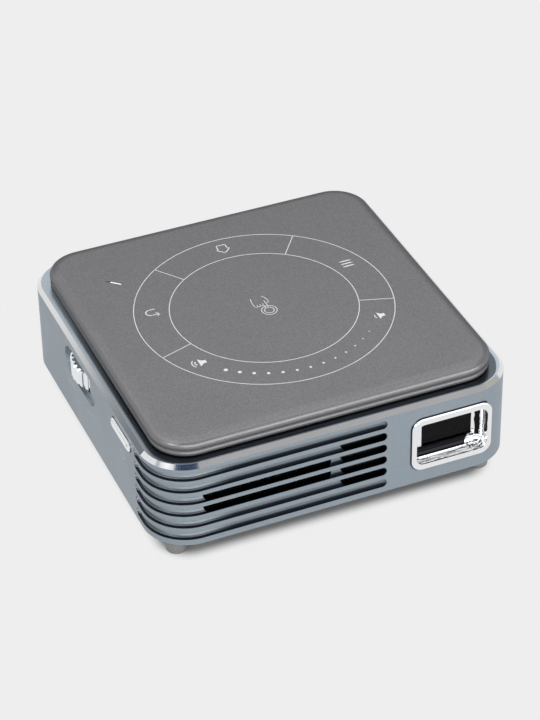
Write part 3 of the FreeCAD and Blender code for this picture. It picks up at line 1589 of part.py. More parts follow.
def make_small_screws():
    """The small screws, all alike: main board, wheel bracket, lens holder and side board."""
    screws = []
    for number, place in enumerate(board_stands()):
        screws.append(tiny_screw(f"board_screw_{number}", "z", place, BOARD_TOP,
                                 BOARD_TOP - d.tiny_reach))
    bracket_seat = up(d.base_thick + d.bracket_foot)
    for number, place in enumerate(bracket_holes()):
        screws.append(tiny_screw(f"bracket_screw_{number}", "z", place, bracket_seat,
                                 bracket_seat - d.tiny_reach))
    for number, place in enumerate(holder_holes()):
        screws.append(tiny_screw(f"holder_screw_{number}", "y", place, d.flange_front,
                                 d.flange_front + d.tiny_reach))
    side_seat = d.side_board_outer + d.side_board_thick
    for number, y in enumerate(about(d.button_y, d.boss_reach)):
        screws.append(tiny_screw(f"side_screw_{number}", "x", (y, up(d.boss_level)), side_seat,
                                 side_seat - d.tiny_reach))
    return group("small_screws", *screws)


# Assembly ---------------------------------------------------------------------------------------

def make_all():
    """Every node of the projector."""
    nodes = [
        make_shell(), make_top_plate(), make_status_light(), make_touch_board(),
        make_base_plate(), make_base_screws(), make_tripod_bush(), make_lens_bezel(),
        make_lens_window(), make_lens_holder(), make_lens_barrel(), make_focus_pin(),
        make_engine_housing(), make_engine_cover(), make_prism(), make_collimators(),
        make_dichroic_plate(), make_dmd_board(), make_dmd_heat_sink(), make_heat_block(),
        make_heat_pipe(), make_heat_sink(), make_blower_housing(), make_blower_cover(),
        make_blower_rotor(), make_main_board(), make_battery(), make_shield(),
        make_audio_socket(), make_ir_window(), make_speaker(), make_wheel_bracket(),
        make_wheel_axle(), make_focus_wheel(), make_focus_pinion(), make_focus_slider(),
        make_guide_post(), make_clips(), make_wheel_washer(), make_power_button(),
        make_small_screws(),
    ]
    for group in (make_feet(), make_lenses(), make_lamps(), make_blower_core(), make_sockets(),
                  make_switch()):
        nodes += group
    return nodes


def check(nodes):
    """Stop if anything in the document failed, or a node is empty, broken or shares a name."""
    doc.recompute()
    for item in doc.Objects:
        if "Invalid" in item.State or "Error" in item.State:
            raise RuntimeError(f"{item.Label} failed: {item.State}")
    names = [node.Label for node in nodes]
    if len(set(names)) != len(names) or len(names) > 60:
        raise RuntimeError("node names repeat, or there are more than 60")
    for node in nodes:
        if node.Shape.isNull() or not node.Shape.isValid() or not node.Shape.Solids:
            raise RuntimeError(f"{node.Label} has no valid solid")


def export(nodes):
    """Write each node's shape to its own file."""
    os.makedirs("parts", exist_ok=True)
    for node in nodes:
        node.Shape.exportStep(f"parts/{node.Label}.step")


all_nodes = make_all()
check(all_nodes)
export(all_nodes)
print(len(all_nodes), "nodes;", "slider stroke", round(slider_stroke().value, 4), "mm")
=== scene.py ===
"""Looks of a square pocket projector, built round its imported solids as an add-on with one operator for each group of
pieces. Sizes are millimetres in the solids' own frame: +X to the viewer's right when facing the lens, +Y to the back,
+Z up, and the origin under the middle of the case. Only the nodes work in metres."""

from math import atan2, cos, hypot, pi, radians, sin, sqrt, tau

import bmesh
import bpy
from bmesh.types import BMEdge, BMFace, BMVert
from bpy.props import FloatProperty, FloatVectorProperty, IntProperty, PointerProperty
from mathutils import Matrix, Vector


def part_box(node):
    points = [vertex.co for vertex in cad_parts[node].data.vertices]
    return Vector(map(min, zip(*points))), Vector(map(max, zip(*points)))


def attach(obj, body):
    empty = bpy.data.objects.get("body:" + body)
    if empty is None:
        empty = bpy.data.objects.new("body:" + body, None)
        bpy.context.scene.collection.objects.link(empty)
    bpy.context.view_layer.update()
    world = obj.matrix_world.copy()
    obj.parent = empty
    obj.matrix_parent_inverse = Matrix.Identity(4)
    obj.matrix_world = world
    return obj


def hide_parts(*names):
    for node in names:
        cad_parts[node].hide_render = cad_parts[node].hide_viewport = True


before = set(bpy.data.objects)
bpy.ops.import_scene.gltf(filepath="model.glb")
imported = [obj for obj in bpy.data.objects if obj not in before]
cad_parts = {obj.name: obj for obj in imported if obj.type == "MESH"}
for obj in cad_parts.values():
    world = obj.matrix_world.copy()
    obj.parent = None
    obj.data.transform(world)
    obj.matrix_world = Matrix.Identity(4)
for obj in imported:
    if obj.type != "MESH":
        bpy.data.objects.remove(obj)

bl_info = {
    "name": "Pocket Projector",
    "version": (1, 0, 0),
    "blender": (4, 5, 0),
    "location": "View3D > Sidebar > Projector",
    "description": "Finishes, printed signs, sockets and inner pieces of a square pocket projector",
    "category": "Object",
}

MM = 0.001


def span(node):
    """A solid's lowest and highest corner."""
    low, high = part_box(node)
    return low / MM, high / MM


def centre(node):
    """The middle of a solid."""
    low, high = span(node)
    return (low + high) / 2


SHELL_LOW, SHELL_HIGH = span("body_shell")
COVER_HIGH = span("top_plate")[1]
COVER_TOP = COVER_HIGH.z
HALF = SHELL_HIGH.x
BODY_CORNER = 12.0
COVER_CORNER = 9.5
WALL = 2.2
RIM_CHAMFER = 1.1
RIM_THICK = 1.84
GROOVE_RADIUS = 1.25
GROOVE_FIRST = 2.9
GROOVE_PITCH = 3.75
GROOVE_REAR = -33.5
# Left end, right end, first row and last row of each set of slots.
SLOTS = ((-37.5, -2.5, 2, 3), (0.05, 12.6, 1, 4))
SCOOP_SPAN = (-4.6, 18.3)
# How far the painted shade reaches past the button and the lens frame.
GAP_SHADE_WIDTH = 0.32
BEZEL_LOW, BEZEL_HIGH = span("lens_bezel")
BEZEL_CENTRE = ((BEZEL_LOW.x + BEZEL_HIGH.x) / 2, (BEZEL_LOW.z + BEZEL_HIGH.z) / 2)
BEZEL_HALF = ((BEZEL_HIGH.x - BEZEL_LOW.x) / 2, (BEZEL_HIGH.z - BEZEL_LOW.z) / 2)
BEZEL_CORNER = 3.2
PUPIL_HALF_HEIGHT = 3.325
BUTTON_CENTRE = (-25.3, 27.2)
BUTTON_HALF = (6.7, 1.475)
SLIT_CENTRE = (-32.6, 26.6)
SLIT_TURN = 137.0


# Properties

def colour(name, description, default):
    """A colour property."""
    return FloatVectorProperty(name=name, description=description, default=default, subtype="COLOR", size=3,
                               min=0.0, max=1.0)


def length(name, description, default):
    """A length property, its default in millimetres."""
    return FloatProperty(name=name, description=description, default=default * MM, subtype="DISTANCE", unit="LENGTH",
                         min=0.0)


class ProjectorColours(bpy.types.PropertyGroup):
    """Colours that a user would change."""

    shell: colour("Shell", "Anodised aluminium frame", (0.235, 0.272, 0.305))
    edge: colour("Polished edge", "Polished chamfer round the rim", (0.86, 0.87, 0.88))
    cover: colour("Touch cover", "Metallic paint of the cover", (0.111, 0.110, 0.114))
    ink: colour("Printed signs", "Ink of the rings, dots and symbols", (0.5, 0.5, 0.505))
    chrome: colour("Chrome", "Lens frame, wheel and button", (0.9, 0.91, 0.92))
    base: colour("Base", "Plastic of the base plate", (0.03, 0.031, 0.033))
    foot: colour("Feet", "Painted feet", (0.17, 0.169, 0.168))
    board: colour("Boards", "Solder mask of the boards", (0.01, 0.07, 0.035))
    floor: colour("Floor", "Floor and backdrop", (0.855, 0.855, 0.855))


class ProjectorSizes(bpy.types.PropertyGroup):
    """Sizes of the printed signs."""

    outer_ring: length("Outer ring", "Radius of the outer printed ring", 34.5)
    inner_ring: length("Inner ring", "Radius of the inner printed ring", 25.1)
    line: length("Line width", "Width of the printed lines", 0.2)
    ink: length("Ink thickness", "How far the ink stands off its surface", 0.015)
    dots: IntProperty(name="Dots", description="Number of dots in the volume scale", default=13, min=2, max=40)
    large_dot: length("Largest dot", "Radius of the first dot", 0.54)
    small_dot: length("Smallest dot", "Radius of the last dot", 0.17)


# Node helpers

def step(operation, swapped=False):
    """A method of Flow that adds one Math node."""
    def method(self, *others):
        values = (self, *others)
        return calc(operation, *(values[::-1] if swapped else values))
    return method


class Flow:
    """A node's output. Arithmetic on it adds Math nodes, and a | b is the larger of two values."""

    def __init__(self, socket):
        self.socket = socket
        self.tree = socket.id_data

    __add__, __mul__, __rtruediv__ = step("ADD"), step("MULTIPLY"), step("DIVIDE", True)
    __sub__, __rsub__ = step("SUBTRACT"), step("SUBTRACT", True)
    __or__, __ror__, __abs__ = step("MAXIMUM"), step("MAXIMUM", True), step("ABSOLUTE")
    __gt__, __lt__ = step("GREATER_THAN"), step("LESS_THAN")


def feed(socket, value):
    """Link an output to a socket, or set the socket's own value."""
    if isinstance(value, Flow):
        value.tree.links.new(value.socket, socket)
    elif socket.type == "RGBA":
        socket.default_value = (*value, 1.0)
    else:
        socket.default_value = value


def join(made, **inputs):
    """Feed a node's inputs by name."""
    for name, value in inputs.items():
        feed(made.inputs[name.replace("_", " ")], value)


def put(tree, kind, settings=(), **inputs):
    """Add a shader node, with its settings and its inputs by name."""
    made = tree.nodes.new("ShaderNode" + kind)
    for name, value in dict(settings).items():
        setattr(made, name, value)
    join(made, **inputs)
    return made


def take(tree, kind, output=0, settings=(), **inputs):
    """Add a shader node and take one of its outputs."""
    return Flow(put(tree, kind, settings, **inputs).outputs[output])


def results(made):
    """A node's outputs by name."""
    return {socket.name: Flow(socket) for socket in made.outputs}


def calc(operation, *values, kind="Math", output=0):
    """The result of a Math node, which goes where its first linked value is."""
    tree = next(value.tree for value in values if isinstance(value, Flow))
    made = put(tree, kind, {"operation": operation})
    for socket, value in zip(made.inputs, values):
        feed(socket, value)
    return Flow(made.outputs[output])


def vector(operation, *values):
    """The result of a Vector Math node."""
    return calc(operation, *values, kind="VectorMath",
                output="Value" if operation in ("LENGTH", "DISTANCE") else "Vector")


def ranged(value, low, high, to_low=0.0, to_high=1.0):
    """A value moved smoothly from one range to another."""
    return take(value.tree, "MapRange", "Result", {"interpolation_type": "SMOOTHSTEP"}, Value=value, From_Min=low,
                From_Max=high, To_Min=to_low, To_Max=to_high)


def faded(value, low, high, to_low=1.0, to_high=0.0):
    """A value that changes smoothly between two limits in millimetres."""
    return ranged(value, low * MM, high * MM, to_low, to_high)


def above(value, limit):
    """1 where a value is over a limit in millimetres."""
    return value > limit * MM


def below(value, limit):
    """1 where a value is under a limit in millimetres."""
    return value < limit * MM


def within(value, low, high):
    """1 where a value lies between two limits in millimetres."""
    return above(value, low) * below(value, high)


def blend(share, first, second):
    """Two colours mixed."""
    made = put(share.tree, "Mix", {"data_type": "RGBA"})
    for number, value in ((0, share), (6, first), (7, second)):
        feed(made.inputs[number], value)
    return Flow(made.outputs[2])


def axes(where):
    """A place's three coordinates."""
    return [Flow(output) for output in put(where.tree, "SeparateXYZ", Vector=where).outputs]


def plane(across, up):
    """A place on a plane."""
    return take(across.tree, "CombineXYZ", X=across, Y=up)


def noise(where, scale, detail=2.0, roughness=0.5):
    """Noise with a feature size of about 1 / scale metres."""
    return take(where.tree, "TexNoise", "Fac", Vector=where, Scale=scale, Detail=detail, Roughness=roughness)


def bump(height, strength, distance):
    """A normal bent by a height."""
    return take(height.tree, "Bump", "Normal", Strength=strength, Distance=distance, Height=height)


def past_corner(off, straight, corner):
    """Distance outside a rounded outline, below zero inside it, from the distance off its middle."""
    past = vector("MAXIMUM", vector("SUBTRACT", off, straight), (0.0, 0.0, 0.0))
    return vector("LENGTH", past) - corner * MM


def past_outline(where):
    """Distance outside the case's rounded square in plan, below zero inside it."""
    straight = HALF - BODY_CORNER
    return past_corner(vector("MULTIPLY", vector("ABSOLUTE", where), (1.0, 1.0, 0.0)),
                       scaled(straight, straight, 0.0), BODY_CORNER)


# Node groups

def fine_grain(given):
    """A speckle for colour and roughness, and a bumped normal."""
    speckle = noise(given["Position"], 1.0 / given["Size"], 3.0, 0.6)
    normal = bump(speckle, 1.0, given["Depth"])
    return {"Speckle": ranged(speckle, 0.3, 0.7), "Normal": normal}


def handling(given):
    """Soft patches where hands have dulled a surface, and a little dust that lies on level faces."""
    patches = noise(given["Position"], 1.0 / given["Patch"], 4.0, 0.55)
    specks = noise(given["Position"], 9000.0, 1.0)
    facing = axes(take(patches.tree, "NewGeometry", "Normal"))[2]
    dust = ranged(specks, 0.7, 0.78) * ranged(facing, 0.5, 1.0)
    return {"Smudge": ranged(patches, 0.35, 0.7), "Dust": dust}


def drawn_streaks(given):
    """Streaks drawn out along one axis, for brushed, rolled and turned metal."""
    stretch = 1.0 / given["Stretch"]
    drawn = vector("MULTIPLY", given["Position"], take(stretch.tree, "CombineXYZ", X=stretch, Y=1.0, Z=1.0))
    streak = noise(drawn, 1.0 / given["Across"])
    normal = bump(streak, 0.35, 0.00002)
    return {"Streak": ranged(streak, 0.3, 0.7), "Normal": normal}


# What builds each group, its inputs after the position, and its outputs.
GROUPS = {
    "Fine grain": (fine_grain, {"Size": 0.0003, "Depth": 0.00001}, {"Speckle": "Float", "Normal": "Vector"}),
    "Handling": (handling, {"Patch": 0.02}, {"Smudge": "Float", "Dust": "Float"}),
    "Streaks": (drawn_streaks, {"Across": 0.0002, "Stretch": 40.0}, {"Streak": "Float", "Normal": "Vector"}),
}


def new_group(name):
    """Build a shared node group."""
    build, inputs, outputs = GROUPS[name]
    tree = bpy.data.node_groups.new(name, "ShaderNodeTree")
    tree.interface.new_socket(name="Position", in_out="INPUT", socket_type="NodeSocketVector")
    for label, default in inputs.items():
        tree.interface.new_socket(name=label, in_out="INPUT", socket_type="NodeSocketFloat").default_value = default
    for label, kind in outputs.items():
        tree.interface.new_socket(name=label, in_out="OUTPUT", socket_type="NodeSocket" + kind)
    given, result = tree.nodes.new("NodeGroupInput"), tree.nodes.new("NodeGroupOutput")
    join(result, **build(results(given)))
    return tree


def use_group(name, where, **inputs):
    """Place a shared node group, building it the first time, and return its outputs by name."""
    made = where.tree.nodes.new("ShaderNodeGroup")
    made.node_tree = bpy.data.node_groups.get(name) or new_group(name)
    join(made, Position=where, **inputs)
    return results(made)


# Materials

# How far hands move a grained finish's roughness either way.
HAND_WEAR = 0.04


def empty_tree(owner):
    """The emptied node tree of a material or a world."""
    owner.use_nodes = True
    owner.node_tree.nodes.clear()
    return owner.node_tree


def new_material(name, **shader_inputs):
    """A material with one Principled shader, that shader, and the place on the object to go on with."""
    material = bpy.data.materials.new(name)
    tree = empty_tree(material)
    shader = put(tree, "BsdfPrincipled", **shader_inputs)
    put(tree, "OutputMaterial", Surface=Flow(shader.outputs[0]))
    return material, shader, take(tree, "TexCoord", "Object")


def tint(base, share):
    """A colour made lighter, or darker below 1."""
    return tuple(min(1.0, channel * share) for channel in base)


def worn(handled, low, high):
    """A roughness between two values, by how much hands have dulled the surface."""
    return ranged(handled["Smudge"], 0.0, 1.0, low, high)


def dusty(handled, base, share=0.12, dust=(0.6, 0.6, 0.58)):
    """A colour with a little dust on it."""
    return blend(handled["Dust"] * share, base, dust)


def speckled_material(name, base, contrast, size, depth, patch=20.0, **shader_inputs):
    """The start of a grained finish: the material, its shader, the place, the handling and the speckled colour."""
    material, shader, where = new_material(name, **shader_inputs)
    grain = use_group("Fine grain", where, Size=size * MM, Depth=depth * MM)
    handled = use_group("Handling", where, Patch=patch * MM)
    speckled = blend(grain["Speckle"], tint(base, 1 - contrast), tint(base, 1 + contrast))
    join(shader, Normal=grain["Normal"])
    return material, shader, where, handled, speckled


def grained(name, base, metallic, roughness, size=0.3, depth=0.006, contrast=0.12, **more):
    """A finish with fine grain and handling: painted, moulded, cast or blasted."""
    material, shader, _, handled, speckled = speckled_material(name, base, contrast, size, depth, Metallic=metallic,
                                                               **more)
    join(shader, Base_Color=dusty(handled, speckled),
         Roughness=worn(handled, roughness - HAND_WEAR, roughness + HAND_WEAR))
    return material


def brushed(name, base, roughness, across=0.15, stretch=40.0, contrast=0.1):
    """Bare metal with drawn streaks."""
    material, shader, where = new_material(name, Metallic=1.0)
    streaks = use_group("Streaks", where, Across=across * MM, Stretch=stretch)
    join(shader, Base_Color=blend(streaks["Streak"], tint(base, 1 - contrast), tint(base, 1 + contrast)),
         Roughness=ranged(streaks["Streak"], 0.0, 1.0, roughness, roughness + 0.12), Normal=streaks["Normal"])
    return material


def groove_masks(x, y, z, depth):
    """Where the grooves are, where their lower walls take painted shade, and the walls round the slots, painted black
    as shade.
    """
    lowest = SHELL_LOW.z + GROOVE_FIRST
    height = calc("WRAP", z - lowest * MM, GROOVE_PITCH / 2 * MM, -GROOVE_PITCH / 2 * MM)
    below_rim = below(z, SHELL_HIGH.z - RIM_THICK)
    cut = below(y, GROOVE_REAR) * below_rim * within(depth, 0.03, WALL - 0.25)
    turned = faded(x, -38.0, -28.0)
    eased = height + turned * (0.28 * MM)
    # Painted shade on the grooves' lower walls, darker towards the bottom of each groove.
    shade = faded(eased, -0.8, 0.35)
    # Painted highlight: a narrow glint eases the painted shade where the grooves turn the corner.
    glint = turned * within(height, -1.0, -0.86)
    shade = shade * (1.0 - glint * 0.45)
    slots = 0.0
    for left, right, first, last in SLOTS:
        rows = within(z, lowest + first * GROOVE_PITCH - GROOVE_RADIUS, lowest + last * GROOVE_PITCH + GROOVE_RADIUS)
        past = ((left + GROOVE_RADIUS) * MM - x) | (x - (right - GROOVE_RADIUS) * MM)
        slots = slots | rows * below(vector("LENGTH", plane(past | 0.0, height)), GROOVE_RADIUS)
    # Painted shade: the groove walls round the slots, deeper than 0.3 mm, are painted black.
    deep = cut * above(depth, 0.3)
    return cut, cut * shade, deep * slots


def past_piece(across, up, centre, half, corner):
    """Distance outside a rounded piece let into an outer wall, below zero inside it."""
    off = vector("ABSOLUTE", vector("SUBTRACT", plane(across, up), scaled(*centre, 0.0)))
    return past_corner(off, scaled(half[0] - corner, half[1] - corner, 0.0), corner)


def gap_shade_mask(across, up, facing, centre, half, corner):
    """1 in the narrow band round such a piece that is painted as the shade of its gap."""
    return within(past_piece(across, up, centre, half, corner), -0.1, GAP_SHADE_WIDTH) * below(facing, -(HALF - 0.4))


def shell_material(tones):
    """Blasted, anodised aluminium: polished on the chamfer, painted shade down in the grooves, and black inside."""
    material, shader, where, handled, satin = speckled_material("anodised_shell", tones.shell, 0.07, 0.22, 0.004, 30.0)
    x, y, z = axes(where)
    top = SHELL_HIGH.z
    polished = within(z, top - RIM_CHAMFER + 0.01, top - 0.02)
    depth = past_outline(where) * -1.0
    inside = above(depth, WALL - 0.3) * below(z, top - RIM_THICK / 2)
    in_groove, shaded_low, slot_shade = groove_masks(x, y, z, depth)
    # The ledge round the cover lies in shade towards the front and the left.
    ledge = above(z, top - 0.02)
    forward = faded(y, -30.0, 45.0, 1.0, 0.1)
    set_in = depth - faded(y, -47.0, -42.0, 0.0, 0.5 * MM)
    sheltered = ledge * forward * faded(set_in, 1.35, 1.6, 0.0, 0.84)
    sheltered = sheltered | ledge * below(x, -(HALF - 6.0)) * faded(y, -40.0, 44.0, 0.55, 0.1)
    scoop = within(y, *SCOOP_SPAN) * within(depth, 0.15, 1.05)
    # Painted light: the scoop and the grooves are painted a little lighter.
    lighter = blend(scoop * 0.07 | in_groove * 0.1, satin, (0.8, 0.85, 0.88))
    shade = (shaded_low | sheltered) * 0.97
    # Painted shade: a thin dark band round the button and the lens frame.
    gap_shade = (gap_shade_mask(y, z, x, BUTTON_CENTRE, BUTTON_HALF, BUTTON_HALF[1])
            | gap_shade_mask(x, z, y, BEZEL_CENTRE, BEZEL_HALF, BEZEL_CORNER))
    shaded = blend(shade | gap_shade * 0.8, lighter, (0.006, 0.009, 0.014))
    # Painted reflection: along the left wall the polished chamfer's colour is darkened towards the front, as a
    # reflection of a dark side of the room.
    left_edge = below(x, -(HALF - RIM_CHAMFER - 0.02))
    fading = faded(y, -38.0, 34.0, 0.8, 0.05)
    painted_reflection = left_edge * above(y, -(HALF - BODY_CORNER + 1.0)) * fading
    bare = blend(polished, shaded, blend(painted_reflection, tones.edge, (0.03, 0.05, 0.075)))
    whole = (polished - inside) | shade
    shine = worn(handled, 0.4, 0.47) - (polished | ledge * 0.6) * 0.32
    # Black inside, and painted black shade on the walls round the slots.
    join(shader, Base_Color=blend(inside | slot_shade, bare, (0.006, 0.006, 0.007)),
         Metallic=ranged(whole, 0.0, 1.0, 0.7, 1.0), Roughness=shine + inside * 0.3)
    return material


def cover_material(tones):
    """Metallic paint, with a painted highlight: lighter where the cover's edge rolls down."""
    material, shader, where, handled, speckled = speckled_material(
        "cover_paint", tones.cover, 0.2, 0.3, 0.004, Metallic=0.6, Coat_Weight=0.03, Coat_Roughness=0.2,
        Specular_IOR_Level=0.3, Specular_Tint=(0.15, 0.15, 0.15))
    # Painted highlight: the paint is lighter below the top, where the edge rolls down.
    rolled = faded(axes(where)[2], COVER_TOP - 0.9, COVER_TOP - 0.2)
    edge = blend(rolled * 0.09, speckled, (0.75, 0.75, 0.76))
    join(shader, Base_Color=dusty(handled, edge), Roughness=worn(handled, 0.305, 0.355))
    return material


def chromed(name, dullest, **shader_inputs):
    """The start of a chrome finish, dulled a little by hands: the material, its shader and the place."""
    material, shader, where = new_material(name, **shader_inputs)
    join(shader, Roughness=worn(use_group("Handling", where, Patch=4.0 * MM), 0.03, dullest))
    return material, shader, where


def bezel_material(tones):
    """Chrome plate whose tray under the opening, right corner and outer flank are painted dark, as painted reflections
    and shade.
    """
    material, shader, where = chromed("bezel_chrome", 0.08)
    x, y, z = axes(where)
    lens_x, lens_z = BEZEL_CENTRE
    sunk = above(y, BEZEL_LOW.y + 2.75)
    across = x + (noise(where, 450.0, 1.0) - 0.5) * (0.9 * MM)
    slanted = across + z * -0.45
    tray = below(z, lens_z - PUPIL_HALF_HEIGHT + 0.02) * below(slanted, lens_x + 6.2 - 0.45 * (lens_z - 3.3))
    right = within(across, lens_x + 8.0, lens_x + 9.3) * above(z, lens_z - 4.2)
    flank = within(y, BEZEL_LOW.y + 0.3, BEZEL_LOW.y + 0.75)
    front_face = within(x, BEZEL_LOW.x + 0.5, BEZEL_HIGH.x - 0.5) * within(z, BEZEL_LOW.z + 0.5, BEZEL_HIGH.z - 0.5)
    # Painted dark reflections and shade: these parts of the chrome are painted near-black.
    dark = sunk * (tray | right) | flank * (1.0 - front_face)
    # Painted dark reflection: swirls in the lower right corner.
    wander = abs(noise(where, 750.0, 1.0) - 0.5)
    corner = above(x, lens_x + 4.5) * below(z, lens_z - 2.0) * above(y, BEZEL_LOW.y + 0.8)
    swirls = corner * ranged(wander, 0.015, 0.035, 0.85, 0.0)
    lip = (within(y, BEZEL_LOW.y + 0.35, BEZEL_LOW.y + 2.0)
           * within(z, BEZEL_LOW.z + 1.2, lens_z - PUPIL_HALF_HEIGHT - 1.5))
    streaked = ranged(noise(vector("MULTIPLY", where, (0.15, 1.0, 1.0)), 2500.0), 0.4, 0.6, 0.2, 0.9)
    join(shader, Base_Color=blend(dark | swirls, tones.chrome, (0.012, 0.012, 0.014)), Metallic=1.0 - lip * streaked)
    return material


def chrome_material(tones):
    """Polished chrome plate with the faintest waviness."""
    material, shader, where = chromed("chrome_plate", 0.09, Metallic=1.0, Base_Color=tones.chrome)
    join(shader, Normal=bump(noise(where, 700.0, 1.0), 0.12, 0.00003))
    return material


def button_material(tones):
    """Chrome plate with a thin dark line inside its upper edge, a painted reflection of its bevel, and a dark dot at
    its front end.
    """
    material, shader, where = chromed("button_chrome", 0.09, Metallic=1.0)
    x, y, z = axes(where)
    away = past_piece(y, z, BUTTON_CENTRE, BUTTON_HALF, BUTTON_HALF[1])
    # Painted reflection: a thin dark line inside the upper edge, as the bevel mirrors it.
    line = within(away, -0.72, -0.5) * above(z, BUTTON_CENTRE[1] + 0.2)
    end = scaled(BUTTON_CENTRE[0] - BUTTON_HALF[0] + 1.5, BUTTON_CENTRE[1] + 0.25, 0.0)
    dark_dot = below(vector("DISTANCE", plane(y, z), end), 0.33)
    dark = (line * 0.75 | dark_dot) * below(x, -(HALF + 0.1))
    join(shader, Base_Color=blend(dark, tones.chrome, (0.02, 0.022, 0.03)))
    return material


def glass_material(name, base, roughness=0.0, ior=1.5, coat=0.0):
    """Clear or tinted glass, with a little dust on it."""
    material, shader, where = new_material(name, Transmission_Weight=1.0, IOR=ior, Coat_Weight=coat)
    handled = use_group("Handling", where, Patch=0.006)
    join(shader, Base_Color=dusty(handled, base, 0.2, (0.5, 0.5, 0.5)),
         Roughness=worn(handled, roughness, roughness + 0.03))
    return material


def slit_material():
    """The light guide in its slit: a painted glint along its rear half, painted shade along its front half and left
    end.
    """
    material, shader, where = new_material("light_guide", Coat_Weight=0.3)
    along, aside, _ = axes(take(where.tree, "Mapping", 0, {"vector_type": "TEXTURE"}, Vector=where,
                                Location=scaled(*SLIT_CENTRE, 0.0), Rotation=(0.0, 0.0, radians(SLIT_TURN))))
    # Painted glint along the rear half; the rest is painted shade.
    painted_glint = below(aside, -0.02) * within(along, -2.2, 1.0)
    grain = use_group("Fine grain", where, Size=0.2 * MM, Depth=0.003 * MM)
    bright = blend(grain["Speckle"], (0.72, 0.73, 0.76), (0.8, 0.81, 0.84))
    join(shader, Base_Color=blend(painted_glint, (0.008, 0.008, 0.01), bright), Normal=grain["Normal"],
         Roughness=ranged(grain["Speckle"], 0.0, 1.0, 0.35, 0.45))
    return material


def board_material(name, mask, trace_scale):
    """A circuit board: solder mask over copper traces, with gold pads."""
    material, shader, where = new_material(name, Coat_Weight=0.4)
    traces = take(where.tree, "TexBrick", "Fac", {"offset": 0.37, "squash": 0.6}, Vector=where, Scale=trace_scale,
                  Mortar_Size=0.06, Brick_Width=1.7, Row_Height=0.45, Mortar_Smooth=0.2)
    gold = take(where.tree, "TexVoronoi", "Distance", {"feature": "F1"}, Vector=where, Scale=420.0,
                Randomness=0.8) < 0.16
    traced = blend(traces * 0.5, mask, tint(mask, 2.2))
    join(shader, Base_Color=blend(gold, traced, (0.75, 0.52, 0.2)), Metallic=gold,
         Roughness=ranged(gold, 0.0, 1.0, 0.45, 0.3), Normal=bump(traces, 0.4, 0.00003))
    return material


def make_finishes(tones):
    """Every finish, by the name that the pieces ask for, with the solids that have it."""
    return {
        "shell": (shell_material(tones), "body_shell"),
        "cover": (cover_material(tones), "top_plate"),
        "ink": (grained("printed_ink", tones.ink, 0.0, 0.5, 0.4, 0.001, 0.04), ""),
        "faint_ink": (grained("engraved_mark", (0.42, 0.45, 0.47), 0.5, 0.5, 0.4, 0.001, 0.04), ""),
        "chrome": (chrome_material(tones), "focus_wheel"),
        "button": (button_material(tones), "power_button"),
        "bezel": (bezel_material(tones), "lens_bezel"),
        "base": (grained("base_plastic", tones.base, 0.0, 0.55, 0.5, 0.02, 0.15), "base_plate"),
        "foot": (grained("painted_foot", tones.foot, 0.3, 0.45, 0.4, 0.005, 0.12),
                 "foot_front_left foot_rear_left foot_front_right foot_rear_right"),
        "black": (grained("black_plastic", (0.012, 0.012, 0.013), 0.0, 0.5, 0.5, 0.012, 0.2),
                  "blower_housing blower_cover blower_rotor audio_socket speaker button_plunger power_switch"),
        "window": (glass_material("tinted_window", (0.10, 0.10, 0.115), ior=1.2), "lens_window"),
        "lens": (glass_material("coated_lens", (0.86, 0.93, 1.0), ior=1.6, coat=0.3),
                 "prism collimators front_lens rear_lens"),
        "light": (slit_material(), "status_light"),
        "filter": (glass_material("dark_filter", (0.06, 0.008, 0.012), roughness=0.05), "ir_window"),
        "mirror": (brushed("colour_mirror", (0.55, 0.68, 0.9), 0.03, 0.5, 1.0, 0.02), "dichroic_plate"),
        "board": (board_material("green_board", tones.board, 260.0), "touch_board main_board dmd_board"),
        "blue_board": (board_material("blue_board", (0.01, 0.03, 0.12), 300.0), "side_board"),
        "steel": (brushed("plain_steel", (0.42, 0.43, 0.44), 0.28), "base_screws small_screws focus_pin focus_slider "
                  "wheel_axle guide_post retaining_clips blower_axle"),
        "tin": (brushed("tinned_sheet", (0.62, 0.62, 0.6), 0.22, 0.3, 20.0, 0.06),
                "processor_shield hdmi_socket usb_socket power_socket"),
        "brass": (brushed("turned_brass", (0.62, 0.46, 0.2), 0.25, 0.12, 30.0),
                  "tripod_bush focus_pinion wheel_washer blower_bearing"),
        "gold": (brushed("gold_contact", (0.8, 0.58, 0.24), 0.18, 0.3, 10.0, 0.05), ""),
        "copper": (brushed("copper", (0.62, 0.29, 0.17), 0.28, 0.2, 30.0), "heat_block heat_pipe"),
        "cast": (grained("cast_alloy", (0.3, 0.305, 0.31), 0.9, 0.45, 0.6, 0.02, 0.1),
                 "lens_holder engine_housing engine_cover wheel_bracket"),
        "fins": (grained("black_fins", (0.02, 0.02, 0.021), 0.6, 0.5, 0.3, 0.004, 0.2), "heat_sink dmd_heat_sink"),
        "anodised": (grained("black_anodised", (0.015, 0.015, 0.016), 0.7, 0.4, 0.3, 0.004, 0.2), "lens_barrel"),
        "wrap": (grained("battery_wrap", (0.035, 0.05, 0.07), 0.1, 0.35, 1.5, 0.03, 0.1), "battery_pack"),
        "ceramic": (grained("white_ceramic", (0.7, 0.7, 0.66), 0.0, 0.4, 0.6, 0.004, 0.04),
                    "led_module_left led_module_rear"),
        "coil": (brushed("coil_winding", (0.5, 0.22, 0.1), 0.3, 0.4, 8.0, 0.25), "blower_stator"),
        "paper": (grained("plain_label", (0.55, 0.55, 0.54), 0.0, 0.6, 1.0, 0.004, 0.03), ""),
        "red_wire": (grained("red_sleeve", (0.45, 0.02, 0.018), 0.0, 0.4, 0.5, 0.004, 0.08), ""),
        "film": (grained("cable_film", (0.42, 0.2, 0.04), 0.1, 0.3, 0.8, 0.004, 0.08, Coat_Weight=0.4), ""),
        "cloth": (grained("speaker_cloth", (0.015, 0.015, 0.016), 0.0, 0.85, 0.6, 0.05, 0.4), ""),
    }


finishes = {}


# Mesh helpers

